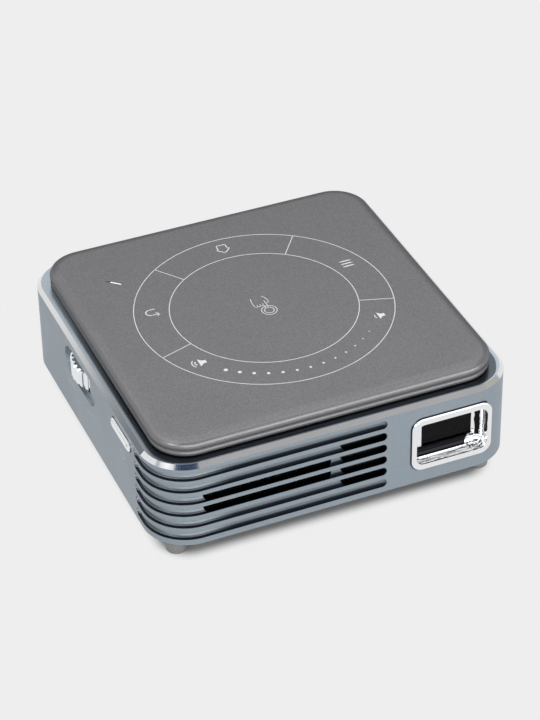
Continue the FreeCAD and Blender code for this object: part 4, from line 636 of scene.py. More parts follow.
def scaled(x, y, z):
    """A place in millimetres, as a vector in metres."""
    return Vector((x, y, z)) * MM


def shifted(x, y, z):
    """A matrix that moves by millimetres."""
    return Matrix.Translation(scaled(x, y, z))


def only(kind, geom):
    """The vertices, edges or faces among mixed geometry."""
    return [each for each in geom if isinstance(each, kind)]


def edges_at(verts):
    """Every edge that ends at one of some vertices, once each and in an order that stays the same on every run."""
    return list(dict.fromkeys(edge for vert in verts for edge in vert.link_edges))


def block(bm, corner, opposite, edge=0.0, segments=2):
    """A block between two opposite corners, its edges rounded."""
    low, high = scaled(*map(min, corner, opposite)), scaled(*map(max, corner, opposite))
    made = bmesh.ops.create_cube(bm, size=1.0)["verts"]
    bmesh.ops.scale(bm, vec=high - low, verts=made)
    bmesh.ops.translate(bm, vec=(low + high) / 2, verts=made)
    if edge:
        bmesh.ops.bevel(bm, geom=edges_at(made), offset=edge * MM, segments=segments, profile=0.5, affect="EDGES",
                        material=-1, clamp_overlap=True)


def drum(bm, centre, radius, height, segments=32, edge=0.0):
    """A short round bar that stands on its centre."""
    made = bmesh.ops.create_cone(bm, cap_ends=True, segments=segments, radius1=radius * MM, radius2=radius * MM,
                                 depth=height * MM, matrix=shifted(*centre) @ shifted(0.0, 0.0, height / 2))["verts"]
    if edge:
        rims = [each for each in edges_at(made) if any(len(face.verts) > 4 for face in each.link_faces)]
        bmesh.ops.bevel(bm, geom=rims, offset=edge * MM, segments=2, profile=0.5, affect="EDGES", material=-1)


def band(bm, centre, radius, width, low, high, start=0.0, sweep=360.0, steps=128):
    """A flat ring, or part of one, as a small rectangle spun about a centre."""
    turned = Matrix.Rotation(radians(start), 3, "Z")
    near, far = radius - width / 2, radius + width / 2
    middle = scaled(*centre, 0.0)
    points = [bm.verts.new(middle + turned @ scaled(reach, 0.0, level))
              for reach, level in ((near, low), (far, low), (far, high), (near, high))]
    whole = sweep >= 360.0
    if whole:
        geom = points + [bm.edges.new(pair) for pair in zip(points, points[1:] + points[:1])]
    else:
        geom = points + [bm.faces.new(points)]
    bmesh.ops.spin(bm, geom=geom, cent=middle, axis=(0.0, 0.0, 1.0), angle=radians(sweep), steps=steps,
                   use_merge=whole)


def round_frame(bm, section, half, corner, steps=12):
    """A closed section, given as distance out and height, swept round a square with rounded corners."""
    straight = half - corner
    points = [bm.verts.new(scaled(out, -straight, height)) for out, height in section]
    edges = [bm.edges.new(pair) for pair in zip(points, points[1:] + points[:1])]
    for quarter in range(4):
        turn = Matrix.Rotation(radians(90.0 * quarter), 3, "Z")
        grown = bmesh.ops.extrude_edge_only(bm, edges=edges)["geom"]
        moved = only(BMVert, grown)
        bmesh.ops.translate(bm, vec=turn @ scaled(0.0, 2 * straight, 0.0), verts=moved)
        edges = [edge for edge in only(BMEdge, grown) if set(edge.verts) <= set(moved)]
        spun = bmesh.ops.spin(bm, geom=moved + edges, cent=turn @ scaled(straight, straight, 0.0),
                              axis=(0.0, 0.0, 1.0), angle=pi / 2, steps=steps)["geom_last"]
        edges = only(BMEdge, spun)
    bmesh.ops.remove_doubles(bm, verts=bm.verts, dist=0.001 * MM)


def stroke(bm, points, width, low, high):
    """A line of flat bars with round joints, drawn in plan."""
    for (ax, ay), (bx, by) in zip(points, points[1:]):
        turn = Matrix.Rotation(atan2(by - ay, bx - ax), 4, "Z")
        size = Matrix.Diagonal((*scaled(hypot(bx - ax, by - ay), width, high - low), 1.0))
        place = shifted((ax + bx) / 2, (ay + by) / 2, (low + high) / 2)
        bmesh.ops.create_cube(bm, size=1.0, matrix=place @ turn @ size)
    for x, y in points:
        drum(bm, (x, y, low), width / 2, high - low, 12)


def fill(bm, points, low, high):
    """A flat shape with straight sides, drawn in plan."""
    face = bm.faces.new([bm.verts.new(scaled(x, y, low)) for x, y in points])
    grown = bmesh.ops.extrude_face_region(bm, geom=[face])["geom"]
    bmesh.ops.translate(bm, vec=scaled(0.0, 0.0, high - low), verts=only(BMVert, grown))


def place_object(name, data):
    """A new object in the scene."""
    made = bpy.data.objects.new(name, data)
    bpy.context.scene.collection.objects.link(made)
    return made


def finished_mesh(name, bm, material):
    """A bmesh turned into a mesh of one material."""
    mesh = bpy.data.meshes.new(name)
    bm.to_mesh(mesh)
    bm.free()
    mesh.materials.append(material)
    return mesh


def new_piece(name, finish, build, body="case", slot=None, angle=35.0, place=None):
    """Build a mesh with a function, give it a finish, and let it ride on a body."""
    bm = bmesh.new()
    build(bm)
    if place is not None:
        bmesh.ops.transform(bm, matrix=place, verts=bm.verts)
    bmesh.ops.recalc_face_normals(bm, faces=bm.faces)
    mesh = finished_mesh(name, bm, finishes[finish][0])
    mesh.shade_smooth()
    mesh.set_sharp_from_angle(angle=radians(angle))
    piece = place_object(name, mesh)
    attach(piece, body)
    return piece


def dress(node, finish):
    """Give a solid its finish, and smooth its curved faces without touching its vertices."""
    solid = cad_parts[node]
    solid.data.materials.clear()
    solid.data.materials.append(finishes[finish][0])
    solid.data.shade_smooth()
    solid.modifiers.new("weld", "WELD").merge_threshold = 0.000002
    solid.modifiers.new("split", "EDGE_SPLIT").split_angle = radians(30.0)
    solid.modifiers.new("even", "WEIGHTED_NORMAL").keep_sharp = True


# The cover's rim

RIM_START = 43.7
RIM_REACH = 3.0
RIM_DROP = 1.9
# How far each step of the ridge, the channel and the bead lies off the ridge, and how far below the cover's top.
RIM_LEDGES = ((0.0, 1.9), (0.0, 2.2), (-0.1, 2.5), (-0.28, 2.85), (-0.32, 3.2), (-0.16, 3.5), (-0.08, 3.75),
              (-0.08, 4.0), (-0.12, 4.25), (-0.3, 4.5), (-0.6, 4.55))


def rolled_rim(bm):
    """The cover's rolled edge: a soft roll down to a ridge, a shallow channel, and a bead at the bottom."""
    section = [(RIM_START + RIM_REACH * sin(radians(angle)),
                COVER_TOP + 0.012 - RIM_DROP * (1.0 - cos(radians(angle)))) for angle in range(0, 90, 9)]
    ridge = RIM_START + RIM_REACH
    section += [(ridge + out, COVER_TOP - fall) for out, fall in RIM_LEDGES]
    section += [(ridge - 1.2, COVER_TOP - RIM_LEDGES[-1][1]), (RIM_START, COVER_TOP - 0.6)]
    round_frame(bm, section, ridge, COVER_CORNER + ridge - COVER_HIGH.x)


class PROJECTOR_OT_cover_rim(bpy.types.Operator):
    """Roll the edge of the touch cover"""

    bl_idname = "projector.cover_rim"
    bl_label = "Cover Rim"

    def execute(self, context):
        new_piece("cover_rim", "cover", rolled_rim, slot="cover_grey", angle=60.0)
        return {"FINISHED"}


# The thumbwheel

WHEEL_LOW, WHEEL_HIGH = span("focus_wheel")
WHEEL_RADIUS = 12.0
WHEEL_EDGE = 0.45
WHEEL_BORE = 1.62
FLUTES = 36
FLUTE_STEPS = 8
FLUTE_DEPTH = 0.6
FLUTE_HALF = 0.22


def fluted_wheel(bm):
    """A disc with narrow flutes all round, chamfered top and bottom, bored for its axle."""
    centre = (WHEEL_LOW + WHEEL_HIGH) / 2
    tall = WHEEL_HIGH.z - WHEEL_LOW.z
    for radius in (WHEEL_BORE, WHEEL_RADIUS):
        rim = bmesh.ops.create_circle(bm, cap_ends=False, segments=FLUTES * FLUTE_STEPS, radius=radius * MM)["verts"]
    for vert in rim:
        share = (atan2(vert.co.y, vert.co.x) / tau * FLUTES) % 1.0
        across = abs(share - 0.5) / FLUTE_HALF
        vert.co *= 1.0 - FLUTE_DEPTH / WHEEL_RADIUS * sqrt(max(0.0, 1.0 - across ** 2))
    faces = bmesh.ops.bridge_loops(bm, edges=bm.edges)["faces"]
    slimmer = 1.0 - WHEEL_EDGE / WHEEL_RADIUS
    bmesh.ops.scale(bm, vec=(slimmer, slimmer, 1.0), verts=rim)
    for rise, change in ((WHEEL_EDGE, 1.0 / slimmer), (tall - 2 * WHEEL_EDGE, 1.0), (WHEEL_EDGE, slimmer)):
        grown = bmesh.ops.extrude_face_region(bm, geom=faces)["geom"]
        moved, faces = only(BMVert, grown), only(BMFace, grown)
        bmesh.ops.translate(bm, vec=scaled(0.0, 0.0, rise), verts=moved)
        outer = [vert for vert in moved if vert.co.xy.length > WHEEL_RADIUS / 2 * MM]
        bmesh.ops.scale(bm, vec=(change, change, 1.0), verts=outer)
    bmesh.ops.translate(bm, vec=scaled(centre.x, centre.y, WHEEL_LOW.z), verts=bm.verts)


class PROJECTOR_OT_thumbwheel(bpy.types.Operator):
    """Cut the fine flutes of the thumbwheel"""

    bl_idname = "projector.thumbwheel"
    bl_label = "Thumbwheel"

    def execute(self, context):
        wheel = new_piece("fluted_wheel", "chrome", fluted_wheel, body="focus_wheel_body", slot="chrome_trim")
        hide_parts("focus_wheel")
        return {"FINISHED"}


# Pieces in the sockets, on the boards and between them

SOCKET_REAR = 49.7
BOARD_TOP = span("main_board")[1].z
PLUG_LEVEL = BOARD_TOP + 1.4
TOUCH_BOTTOM = span("touch_board")[0].z
SPEAKER_FRONT = span("speaker")[0].y
AUDIO, SPEAKER, ROTOR, SWITCH = map(centre, ("audio_socket", "speaker", "blower_rotor", "side_board"))
# Place, half width, half length and legs on a side of the amplifier and the charger.
LEADED_CHIPS = ((24.5, 29.0, 3.0, 3.5, 8), (-17.0, 13.5, 2.6, 2.8, 6))
CHOKES = ((-17.0, 21.0), (24.5, 21.0))
CANS = ((-21.0, 28.3), (-22.6, 40.3))
TOUCH_CHIPS = ((-24.0, -22.0), (22.0, 24.0), (2.0, 26.0))
SMALL_PARTS = [(start_x + step_x * number, start_y + step_y * number)
               for start_x, start_y, step_x, step_y, count in ((-8.5, 8.2, 2.6, 0.0, 9), (-6.6, 13.0, 0.0, 2.6, 7),
                                                               (20.4, 12.0, 0.0, 2.6, 3)) for number in range(count)]


def pads(places, wide, long, level, tall, edge=0.08, segments=2):
    """Equal blocks that stand on one level, each centred on its place in plan."""
    def draw(bm):
        for x, y in places:
            block(bm, (x - wide / 2, y - long / 2, level), (x + wide / 2, y + long / 2, level + tall), edge, segments)
    return draw


def stacks(places, rows):
    """Round bars on the board at each place: how high each starts, its radius, height and edge."""
    def draw(bm):
        for x, y in places:
            for rise, radius, tall, edge in rows:
                drum(bm, (x, y, BOARD_TOP + rise), radius, tall, 40, edge)
    return draw


def strips(node, level, reach, blade, pitch, width, count, sides=(1, -1)):
    """Gold strips along a socket's tongue, on its upper side (1), its lower side (-1) or both."""
    low, high = span(node)
    middle = low.z + (high.z - low.z) * level

    def draw(bm):
        for side in sides:
            face = middle + side * blade / 2
            for number in range(count):
                x = (low.x + high.x) / 2 + (number - (count - 1) / 2) * pitch
                block(bm, (x - width / 2, high.y - reach, face - side * 0.02),
                      (x + width / 2, high.y - 1.6, face + side * 0.07), 0.02, 1)
    return draw


def collar_ring(bm):
    """A bright ring let into the headphone socket's mouth."""
    band(bm, (0.0, 0.0), 2.25, 0.7, -0.25, 0.04, steps=48)


def contact_springs(bm):
    """Two springs down the headphone socket's bore."""
    for side, back in ((1, 6.5), (-1, 3.2)):
        block(bm, (AUDIO.x - 0.5, SOCKET_REAR - back - 2.4, AUDIO.z + side * 1.35),
              (AUDIO.x + 0.5, SOCKET_REAR - back, AUDIO.z + side * 1.72), 0.15)


def leaded_chips(bm):
    """Black bodies with a dimple by the first leg."""
    for x, y, half, long, _ in LEADED_CHIPS:
        pads([(x, y)], 2 * half, 2 * long, BOARD_TOP + 0.15, 1.2, 0.15)(bm)
        band(bm, (x - half + 0.9, y - long + 0.9), 0.35, 0.12, BOARD_TOP + 1.33, BOARD_TOP + 1.38, steps=20)


def chip_legs(bm):
    """Rows of bent legs along two sides of the leaded chips."""
    for x, y, half, _, count in LEADED_CHIPS:
        for reach, wide, rise, tall in ((0.3, 0.8, 0.0, 0.2), (0.075, 0.35, 0.1, 0.6)):
            legs = [(x + side * (half + reach), y + (number - (count - 1) / 2) * 0.8)
                    for side in (-1, 1) for number in range(count)]
            pads(legs, wide, 0.3, BOARD_TOP + rise, tall, 0.05, 1)(bm)


def choke_cores(bm):
    """Square ferrite plates, with the post between them."""
    for rise, tall in ((0.0, 0.7), (2.6, 0.6)):
        pads(CHOKES, 5.4, 5.4, BOARD_TOP + rise, tall, 0.3)(bm)
    for x, y in CHOKES:
        drum(bm, (x, y, BOARD_TOP + 0.6), 2.0, 2.1)


def plug_sockets(bm):
    """Open plug sockets for the battery, the fan and the speaker, each with a locking lip."""
    low, high = BOARD_TOP, BOARD_TOP + 2.8
    for x, width in ((29.3, 5.4), (-14.5, 4.0), (-2.0, 3.4)):
        left, right = x - width / 2, x + width / 2
        for x_near, y_near, z_near, x_far, y_far, z_far in (
                (left, 5.4, low, right, 9.6, low + 0.5), (left, 9.0, low, right, 9.6, high),
                (left, 5.4, low, left + 0.5, 9.6, high), (right - 0.5, 5.4, low, right, 9.6, high),
                (left, 5.4, high - 0.5, right, 7.0, high)):
            block(bm, (x_near, y_near, z_near), (x_far, y_far, z_far), 0.08)


def cable_clamps(bm):
    """Flat plug sockets at both ends of the cover's cable, each with its locking bar."""
    for level, way in ((BOARD_TOP, 1), (TOUCH_BOTTOM, -1)):
        for front, back, tall in ((26.2, 28.6, 1.0), (28.6, 29.3, 0.35)):
            block(bm, (-15.6, front, level), (-8.4, back, level + way * tall), 0.1)


def speaker_dome(bm):
    """A shallow oval dome in the speaker's dish."""
    made = bmesh.ops.create_uvsphere(bm, u_segments=40, v_segments=20, radius=1.0)["verts"]
    bmesh.ops.scale(bm, vec=scaled(3.2, 0.85, 5.6), verts=made)


def speaker_roll(bm):
    """The rolled edge that carries the dome: an oval ring of round section."""
    turned = Matrix.Rotation(pi / 2, 4, "X")
    ring = bmesh.ops.create_circle(bm, cap_ends=False, segments=12, radius=0.55 * MM,
                                   matrix=shifted(4.0, 0.0, 0.0) @ turned)["verts"]
    bmesh.ops.spin(bm, geom=ring + edges_at(ring), cent=(0.0, 0.0, 0.0), axis=(0.0, 0.0, 1.0), angle=tau,
                   steps=48, use_merge=True)
    bmesh.ops.transform(bm, matrix=Matrix.Diagonal((1.0, 1.0, 1.6, 1.0)) @ turned, verts=bm.verts)


COLLAR_PLACE = shifted(AUDIO.x, SOCKET_REAR, AUDIO.z) @ Matrix.Rotation(-pi / 2, 4, "X")
DISH = {"angle": 60.0, "place": shifted(SPEAKER.x, SPEAKER_FRONT + 1.2, SPEAKER.z)}
# Name, finish, slot and shape of each piece, and what else sets it apart.
INNER_PARTS = (
    ("hdmi_contacts", "gold", "brass", strips("hdmi_socket", 0.5, 9.0, 0.8, 1.0, 0.42, 10)),
    ("usb_contacts", "gold", "brass", strips("usb_socket", 0.66, 9.5, 1.5, 2.3, 1.1, 4, (-1,))),
    ("power_contacts", "gold", "brass", strips("power_socket", 0.5, 5.5, 0.6, 0.5, 0.24, 12)),
    ("audio_collar_ring", "tin", "steel", collar_ring, {"place": COLLAR_PLACE}),
    ("audio_contact_springs", "gold", "brass", contact_springs),
    ("memory_chips", "black", "black_plastic", pads([(24.5, 38.5)], 5.0, 4.0, BOARD_TOP, 0.9)),
    ("leaded_chips", "black", "black_plastic", leaded_chips),
    ("chip_legs", "tin", "steel", chip_legs),
    ("choke_coils", "coil", "coil_winding",
     stacks(CHOKES, [(0.75 + turn * 0.36, 2.35, 0.3, 0.1) for turn in range(5)])),
    ("choke_cores", "anodised", None, choke_cores),
    ("storage_cans", "tin", None, stacks(CANS, ((0.6, 2.4, 0.9, 0.2), (1.4, 2.2, 0.5, 0.0), (1.8, 2.4, 3.2, 0.3)))),
    ("can_bases", "black", "black_plastic", pads(CANS, 5.0, 5.0, BOARD_TOP, 0.6, 0.4, 3)),
    ("small_capacitors", "ceramic", None, pads(SMALL_PARTS, 1.2, 0.8, BOARD_TOP, 0.8)),
    ("small_part_ends", "tin", "steel", pads([(x + side, y) for x, y in SMALL_PARTS for side in (-0.72, 0.72)],
                                             0.4, 0.84, BOARD_TOP, 0.82, 0.06, 1)),
    ("plug_sockets", "ceramic", None, plug_sockets),
    ("cable_clamps", "ceramic", None, cable_clamps),
    ("touch_chips", "black", "black_plastic", pads(TOUCH_CHIPS, 6.0, 6.0, TOUCH_BOTTOM - 0.9, 0.9)),
    ("side_plug_socket", "ceramic", None, pads([(span("side_board")[1].x + 1.2, SWITCH.y + 5.8)], 2.4, 3.2, 20.0, 3.5,
                                               0.25)),
    ("speaker_dome", "black", "black_plastic", speaker_dome, DISH),
    ("speaker_roll", "cloth", None, speaker_roll, DISH),
    ("speaker_cloth", "cloth", None, pads([(6.4, SPEAKER_FRONT - 0.325)], 14.0, 0.35, 12.0, 14.4, 0.12)),
)
LABELS = (
    ("battery_label", "paper", None, pads([(5.0, 25.5)], 34.0, 25.0, span("battery_pack")[1].z - 0.02, 0.12, 0.05)),
    ("rotor_label", "paper", None,
     lambda bm: drum(bm, (ROTOR.x, ROTOR.y, span("blower_rotor")[1].z - 0.02), 5.6, 0.1, 48, 0.03),
     {"body": "rotor_body"}),
    ("base_label", "paper", None, pads([(23.0, 23.0)], 30.0, 18.0, span("base_plate")[0].z - 0.08, 0.1, 0.03)),
)


def make_pieces(rows):
    """Build every piece of a table."""
    for name, finish, slot, build, *more in rows:
        new_piece(name, finish, build, slot=slot, **dict(*more))


class PROJECTOR_OT_inner_parts(bpy.types.Operator):
    """Fit the sockets, the boards and the speaker with their small parts"""

    bl_idname = "projector.inner_parts"
    bl_label = "Inner Parts"

    def execute(self, context):
        make_pieces(INNER_PARTS)
        return {"FINISHED"}


# Name, radius, places of the red and the black lead, and the path from the part to its plug on the board.
LEADS = (
    ("battery_lead", 0.42, (28.4, 30.2),
     ((0.0, 7.6, 11.5), (0.0, 5.3, 11.6), (0.0, 4.2, 13.5), (0.0, 4.2, 16.5), (0.0, 5.4, PLUG_LEVEL),
      (0.0, 7.6, PLUG_LEVEL))),
    ("fan_lead", 0.32, (-13.9, -15.1),
     ((0.0, -3.2, 12.0), (0.0, -1.2, 12.4), (0.0, 2.6, 15.0), (0.0, 4.1, 17.0), (0.0, 5.6, PLUG_LEVEL),
      (0.0, 7.4, PLUG_LEVEL))),
    ("speaker_lead", 0.32, (-1.5, -2.5),
     ((5.5, -39.8, 12.0), (5.5, -37.0, 10.4), (2.0, -24.0, 10.2), (0.0, -12.0, 12.6), (0.0, -5.0, 15.0),
      (0.0, 1.0, 15.2), (0.0, 4.1, 16.6), (0.0, 5.6, PLUG_LEVEL), (0.0, 7.4, PLUG_LEVEL))),
)
CABLE_X = -12.0
CABLE_PATH = ((28.4, BOARD_TOP + 0.5), (31.5, BOARD_TOP + 0.7), (33.8, 20.0), (31.0, 25.0), (33.6, 30.0),
              (31.5, TOUCH_BOTTOM - 0.5), (28.6, TOUCH_BOTTOM - 0.3))


def wire(name, points, radius, finish, flat=0.0, place=None):
    """A round wire through its points, or a flat cable if it is given a width."""
    line = bpy.data.curves.new(name, "CURVE")
    line.dimensions = "2D" if flat else "3D"
    line.fill_mode = "NONE" if flat else "FULL"
    line.bevel_depth = radius * MM
    line.bevel_resolution = 3
    line.extrude = flat / 2 * MM
    line.use_fill_caps = True
    run = line.splines.new("BEZIER")
    run.bezier_points.add(len(points) - 1)
    for knot, where in zip(run.bezier_points, points):
        knot.co = scaled(*where)
        knot.handle_left_type = knot.handle_right_type = "AUTO"
    guide = bpy.data.objects.new(name + "_guide", line)
    made = bpy.data.meshes.new_from_object(guide)
    bpy.data.objects.remove(guide)
    new_piece(name, finish, lambda bm: bm.from_mesh(made), angle=60.0, place=place)
    bpy.data.meshes.remove(made)


class PROJECTOR_OT_wiring(bpy.types.Operator):
    """Run the leads of the battery, the fan and the speaker, and the flat cable of the cover"""

    bl_idname = "projector.wiring"
    bl_label = "Wiring"

    def execute(self, context):
        for name, radius, places, path in LEADS:
            for x, end, finish in zip(places, ("_red", "_black"), ("red_wire", "black")):
                wire(name + end, [(x + aside, y, z) for aside, y, z in path], radius, finish)
        upright = Matrix(((0, 0, 1, CABLE_X * MM), (1, 0, 0, 0), (0, 1, 0, 0), (0, 0, 0, 1)))
        wire("cover_cable", [(y, z, 0.0) for y, z in CABLE_PATH], 0.09, "film", flat=6.0, place=upright)
        return {"FINISHED"}


class PROJECTOR_OT_labels(bpy.types.Operator):
    """Stick blank labels on the battery, the rotor and the underside"""

    bl_idname = "projector.labels"
    bl_label = "Blank Labels"

    def execute(self, context):
        make_pieces(LABELS)
        return {"FINISHED"}


# Signs on the side and the cover

INK_SINK = 0.01
DIVIDER_ANGLES = (54.0, 126.0, -18.0, -162.0)
FIRST_DOT, LAST_DOT = -132.1, -46.6
LOUDSPEAKER = ((-1.7, -0.55), (-0.9, -0.55), (0.1, -1.45), (0.1, 1.45), (-0.9, 0.55), (-1.7, 0.55))


def sign(width=0.3, lines=(), arcs=()):
    """A sign of arcs and strokes. An arc has its centre, radius, width, start, sweep and number of steps."""
    def draw(bm, low, high):
        for middle, radius, thick, start, sweep, steps in arcs:
            band(bm, middle, radius, thick, low, high, start, sweep, steps)
        for line in lines:
            stroke(bm, line, width, low, high)
    return draw


def speaker_sign(scale, waves):
    """A loudspeaker with sound waves."""
    arcs = [((0.1 * scale, 0.0), (0.95 + 0.75 * number) * scale, 0.26 * scale, -48.0, 96.0, 16)
            for number in range(waves)]

    def draw(bm, low, high):
        fill(bm, [(x * scale, y * scale) for x, y in LOUDSPEAKER], low, high)
        sign(arcs=arcs)(bm, low, high)
    return draw


def arrow_sign(reach, way):
    """A thin line with an arrow head at one end, for the way the focus moves."""
    tip = reach / 2 * way
    return sign(0.22, [[(-tip, 0.0), (tip, 0.0)], [(tip - 0.8 * way, 0.7), (tip, 0.0), (tip - 0.8 * way, -0.7)]])


def side_sign(name, y, z, draw):
    """A faint sign on the left wall, drawn as seen from that side."""
    place = Matrix(((0, 0, -1, -HALF * MM), (-1, 0, 0, y * MM), (0, 1, 0, z * MM), (0, 0, 0, 1)))
    new_piece(name, "faint_ink", lambda bm: draw(bm, -INK_SINK, 0.012), place=place)


class PROJECTOR_OT_side_signs(bpy.types.Operator):
    """Print the faint signs beside the thumbwheel and under the button"""

    bl_idname = "projector.side_signs"
    bl_label = "Side Signs"

    def execute(self, context):
        side_sign("far_sign", 14.5, 16.4, arrow_sign(5.5, -1))
        side_sign("near_sign", 0.3, 16.4, arrow_sign(4.5, 1))
        side_sign("power_sign", -25.0, 20.7, sign(0.22, [[(0.0, 0.5), (0.0, 1.8)]],
                                                  [((0.0, 0.0), 1.35, 0.22, 125.0, 290.0, 40)]))
        return {"FINISHED"}


# Name, place and drawing of each key symbol: a house, three bars, a line that turns back, two loudspeakers, and a hand
# whose finger points into two rings.
SYMBOLS = (
    ("home", 0.3, 29.8, sign(0.27, [[(-2.0, 0.1), (0.0, 2.0), (2.0, 0.1), (1.3, 0.1), (1.3, -1.9), (-1.3, -1.9),
                                     (-1.3, 0.1), (-2.0, 0.1)]])),
    ("menu", 28.2, 9.5, sign(0.42, [[(-1.5, level), (1.5, level)] for level in (-1.25, 0.0, 1.25)])),
    ("return", -28.0, 9.5, sign(0.3, [[(-1.5, 1.25), (0.5, 1.25)], [(-1.1, -1.25), (0.5, -1.25)],
                                      [(-0.8, 2.0), (-1.6, 1.25), (-0.8, 0.5)]],
                                [((0.5, 0.0), 1.25, 0.3, -90.0, 180.0, 24)])),
    ("louder", -25.0, -16.5, speaker_sign(1.1, 2)),
    ("quieter", 25.7, -16.3, speaker_sign(1.02, 1)),
    ("touch", 0.3, 0.2, sign(0.2, [[(0.25, 1.2), (0.25, -1.2)], [(-0.62, 1.15), (-0.62, -2.3)],
                                   [(-0.62, -0.8), (-1.6, -1.35), (-1.6, -2.6), (-1.25, -3.7), (-0.7, -4.4)],
                                   [(0.25, -0.7), (0.6, -0.2), (1.05, -0.3), (1.05, -1.0)],
                                   [(1.05, -0.3), (1.4, -0.05), (1.85, -0.2), (1.85, -1.0)],
                                   [(1.85, -0.2), (2.4, -0.15), (2.75, -0.6), (2.75, -2.6), (2.45, -4.2)]],
                             [((-0.26, 2.36), radius, 0.19, 0.0, 360.0, 48) for radius in (2.06, 1.28)])),
)


class PROJECTOR_OT_cover_print(bpy.types.Operator):
    """Print the rings, lines, volume dots and key symbols on the touch cover"""

    bl_idname = "projector.cover_print"
    bl_label = "Cover Print"

    def execute(self, context):
        sizes = context.scene.projector_sizes
        outer, inner, line = sizes.outer_ring / MM, sizes.inner_ring / MM, sizes.line / MM
        low, high = COVER_TOP - INK_SINK, COVER_TOP + sizes.ink / MM
        ways = [Vector((cos(angle), sin(angle))) for angle in map(radians, DIVIDER_ANGLES)]

        def dots(bm, low, high):
            radius = (outer + inner) / 2
            for number in range(sizes.dots):
                share = number / (sizes.dots - 1)
                angle = radians(FIRST_DOT + (LAST_DOT - FIRST_DOT) * share)
                size = (sizes.large_dot + (sizes.small_dot - sizes.large_dot) * share) / MM
                drum(bm, (radius * cos(angle), radius * sin(angle), low), size, high - low, 24)

        for name, draw in (("outer_ring", sign(arcs=[((0.0, 0.0), outer, line, 0.0, 360.0, 192)])),
                           ("inner_ring", sign(arcs=[((0.0, 0.0), inner, line, 0.0, 360.0, 160)])),
                           ("dividing_lines", sign(line, [[way * inner, way * outer] for way in ways])),
                           ("volume_dots", dots)):
            new_piece(name + "_print", "ink", lambda bm: draw(bm, low, high))
        # The symbols are turned round, so that they read from behind.
        for name, x, y, draw in SYMBOLS:
            new_piece(name + "_symbol_print", "ink", lambda bm: draw(bm, low, high),
                      place=shifted(x, y, 0.0) @ Matrix.Rotation(pi, 4, "Z"))
        return {"FINISHED"}


class PROJECTOR_OT_solids(bpy.types.Operator):
    """Give every solid its finish"""

    bl_idname = "projector.solids"
    bl_label = "Finish the Solids"

    def execute(self, context):
        finishes.update(make_finishes(context.scene.projector_colours))
        for finish, (_, nodes) in finishes.items():
            for node in nodes.split():
                dress(node, finish)
        return {"FINISHED"}


# Stage

SHADOWED_TONE = 0.4
# Cards round the object, seen only by polished pieces: direction, outer and inner radius, colour.
CARDS = (
    ((0.31, -0.59, 0.745), 0.75, 0.38, (0.43, 0.42, 0.42)),
    ((-0.15, -0.56, 0.815), 0.40, 0.34, (0.012, 0.035, 0.09)),
    ((-0.768, 0.02, 0.639), 0.09, 0.05, (0.3, 0.34, 0.4)),
    ((0.84, -0.2, 0.5), 0.40, 0.30, (0.47, 0.46, 0.42)),
)
AMBIENT = (0.44, 0.462, 0.495)
# Name, place, width, depth and power of each soft box, its place and size in metres.
SOFT_BOXES = (
    ("top_box", (0.05, 0.3, 1.1), 2.2, 2.0, 22.0),
    ("front_box", (0.15, -1.0, 0.32), 2.2, 0.68, 14.5),
    ("corner_box", (-0.8, -0.42, 0.42), 0.3, 0.25, 2.2),
)
LIT_POINT = (0.0, 0.0, 0.02)
CAMERA_AZIMUTH = -22.35
CAMERA_ELEVATION = 36.12
CAMERA_ROLL = -1.094
CAMERA_DISTANCE = 687.02
CAMERA_LENS = 128.1
CAMERA_TARGET = (1.254, -0.224, 18.4)


def make_floor(pale):
    """A wide pale floor, plain all round and lit, with the object's shadow, under the case, where its colour is also
    darkened to a painted shadow; clear from below.
    """
    material = bpy.data.materials.new("pale_floor")
    tree = empty_tree(material)
    # Under the case the floor's colour is darkened to a painted shadow, on top of the shadow the lamps cast.
    outside = faded(past_outline(take(tree, "TexCoord", "Object")), -6.2, -0.9, 0.0, 1.0)
    lit = take(tree, "BsdfDiffuse", Color=blend(outside, tint(pale, SHADOWED_TONE), pale))
    plain = take(tree, "Emission", Color=pale, Strength=1.0)
    rays = results(put(tree, "LightPath"))
    seen = rays["Is Camera Ray"] | (rays["Is Glossy Ray"] | rays["Is Transmission Ray"])
    surface = mix_shaders(outside * seen, lit, plain)
    surface = mix_shaders(take(tree, "NewGeometry", "Backfacing"), surface, take(tree, "BsdfTransparent"))
    put(tree, "OutputMaterial", Surface=surface)
    bm = bmesh.new()
    bmesh.ops.create_grid(bm, x_segments=1, y_segments=1, size=4.0)
    floor = place_object("floor", finished_mesh("floor", bm, material))


def mix_shaders(share, first, second):
    """Two shaders mixed."""
    made = put(share.tree, "MixShader")
    for socket, value in zip(made.inputs, (share, first, second)):
        feed(socket, value)
    return Flow(made.outputs[0])


def make_world(pale):
    """A pale surround, with cards for the polished pieces to reflect."""
    world = bpy.data.worlds.new("studio")
    tree = empty_tree(world)
    way = take(tree, "TexCoord", "Generated")
    mirrored = pale
    for direction, outer, inner, tone in CARDS:
        away = vector("DISTANCE", way, Vector(direction).normalized())
        mirrored = blend(ranged(away, inner, outer, 1.0, 0.0), mirrored, tone)
    rays = results(put(tree, "LightPath"))
    around = blend(rays["Is Glossy Ray"] | rays["Is Transmission Ray"], AMBIENT, mirrored)
    shown = take(tree, "Background", Color=blend(rays["Is Camera Ray"], around, pale), Strength=1.0)
    put(tree, "OutputWorld", Surface=shown)
    bpy.context.scene.world = world


def make_lights():
    """Soft boxes over, before and beside the object, all facing it."""
    for name, place, width, depth, power in SOFT_BOXES:
        lamp = bpy.data.lights.new(name, "AREA")
        lamp.shape = "RECTANGLE"
        lamp.size, lamp.size_y = width, depth
        lamp.energy = power
        holder = place_object(name, lamp)
        holder.location = place
        holder.rotation_euler = (Vector(place) - Vector(LIT_POINT)).to_track_quat("Z", "Y").to_euler()


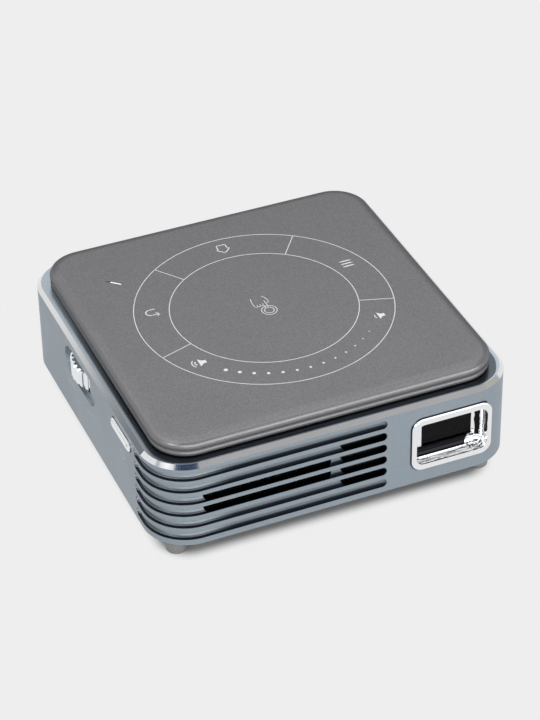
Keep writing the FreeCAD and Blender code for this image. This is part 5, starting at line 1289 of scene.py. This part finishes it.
def make_camera():
    """A long lens from the front left, above the cover."""
    azimuth, elevation = radians(CAMERA_AZIMUTH), radians(CAMERA_ELEVATION)
    back = Vector((sin(azimuth) * cos(elevation), -cos(azimuth) * cos(elevation), sin(elevation)))
    lens = bpy.data.cameras.new("camera")
    lens.lens = CAMERA_LENS
    lens.sensor_width = 36.0
    lens.clip_start, lens.clip_end = 0.01, 20.0
    camera = place_object("camera", lens)
    turn = back.to_track_quat("Z", "Y").to_matrix().to_4x4() @ Matrix.Rotation(radians(CAMERA_ROLL), 4, "Z")
    camera.matrix_world = Matrix.Translation(scaled(*CAMERA_TARGET) + back * CAMERA_DISTANCE * MM) @ turn
    bpy.context.scene.camera = camera


class PROJECTOR_OT_stage(bpy.types.Operator):
    """Set the floor, the lights and the camera"""

    bl_idname = "projector.stage"
    bl_label = "Stage"

    def execute(self, context):
        pale = tuple(context.scene.projector_colours.floor)
        make_floor(pale)
        make_world(pale)
        make_lights()
        make_camera()
        context.scene.view_settings.view_transform = "Standard"
        return {"FINISHED"}


# Panel and registration

OPERATORS = (PROJECTOR_OT_solids, PROJECTOR_OT_cover_rim, PROJECTOR_OT_thumbwheel, PROJECTOR_OT_side_signs,
             PROJECTOR_OT_cover_print, PROJECTOR_OT_inner_parts, PROJECTOR_OT_wiring, PROJECTOR_OT_labels,
             PROJECTOR_OT_stage)


class PROJECTOR_PT_panel(bpy.types.Panel):
    """Lists the projector's colours, sizes and operators."""

    bl_label = "Pocket Projector"
    bl_idname = "PROJECTOR_PT_panel"
    bl_space_type = "VIEW_3D"
    bl_region_type = "UI"
    bl_category = "Projector"

    def draw(self, context):
        column = self.layout.column()
        for group in (context.scene.projector_colours, context.scene.projector_sizes):
            for name in group.__annotations__:
                column.prop(group, name)
        for operator in OPERATORS:
            column.operator(operator.bl_idname)


CLASSES = (ProjectorColours, ProjectorSizes, *OPERATORS, PROJECTOR_PT_panel)


def register():
    """Add the classes and the scene's properties."""
    for each in CLASSES:
        bpy.utils.register_class(each)
    bpy.types.Scene.projector_colours = PointerProperty(type=ProjectorColours)
    bpy.types.Scene.projector_sizes = PointerProperty(type=ProjectorSizes)


def unregister():
    """Take them away again."""
    del bpy.types.Scene.projector_sizes
    del bpy.types.Scene.projector_colours
    for each in reversed(CLASSES):
        bpy.utils.unregister_class(each)


def main():
    """Build everything."""
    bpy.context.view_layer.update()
    register()
    for operator in OPERATORS:
        group, name = operator.bl_idname.split(".")
        getattr(getattr(bpy.ops, group), name)()


if __name__ == "__main__":
    main()
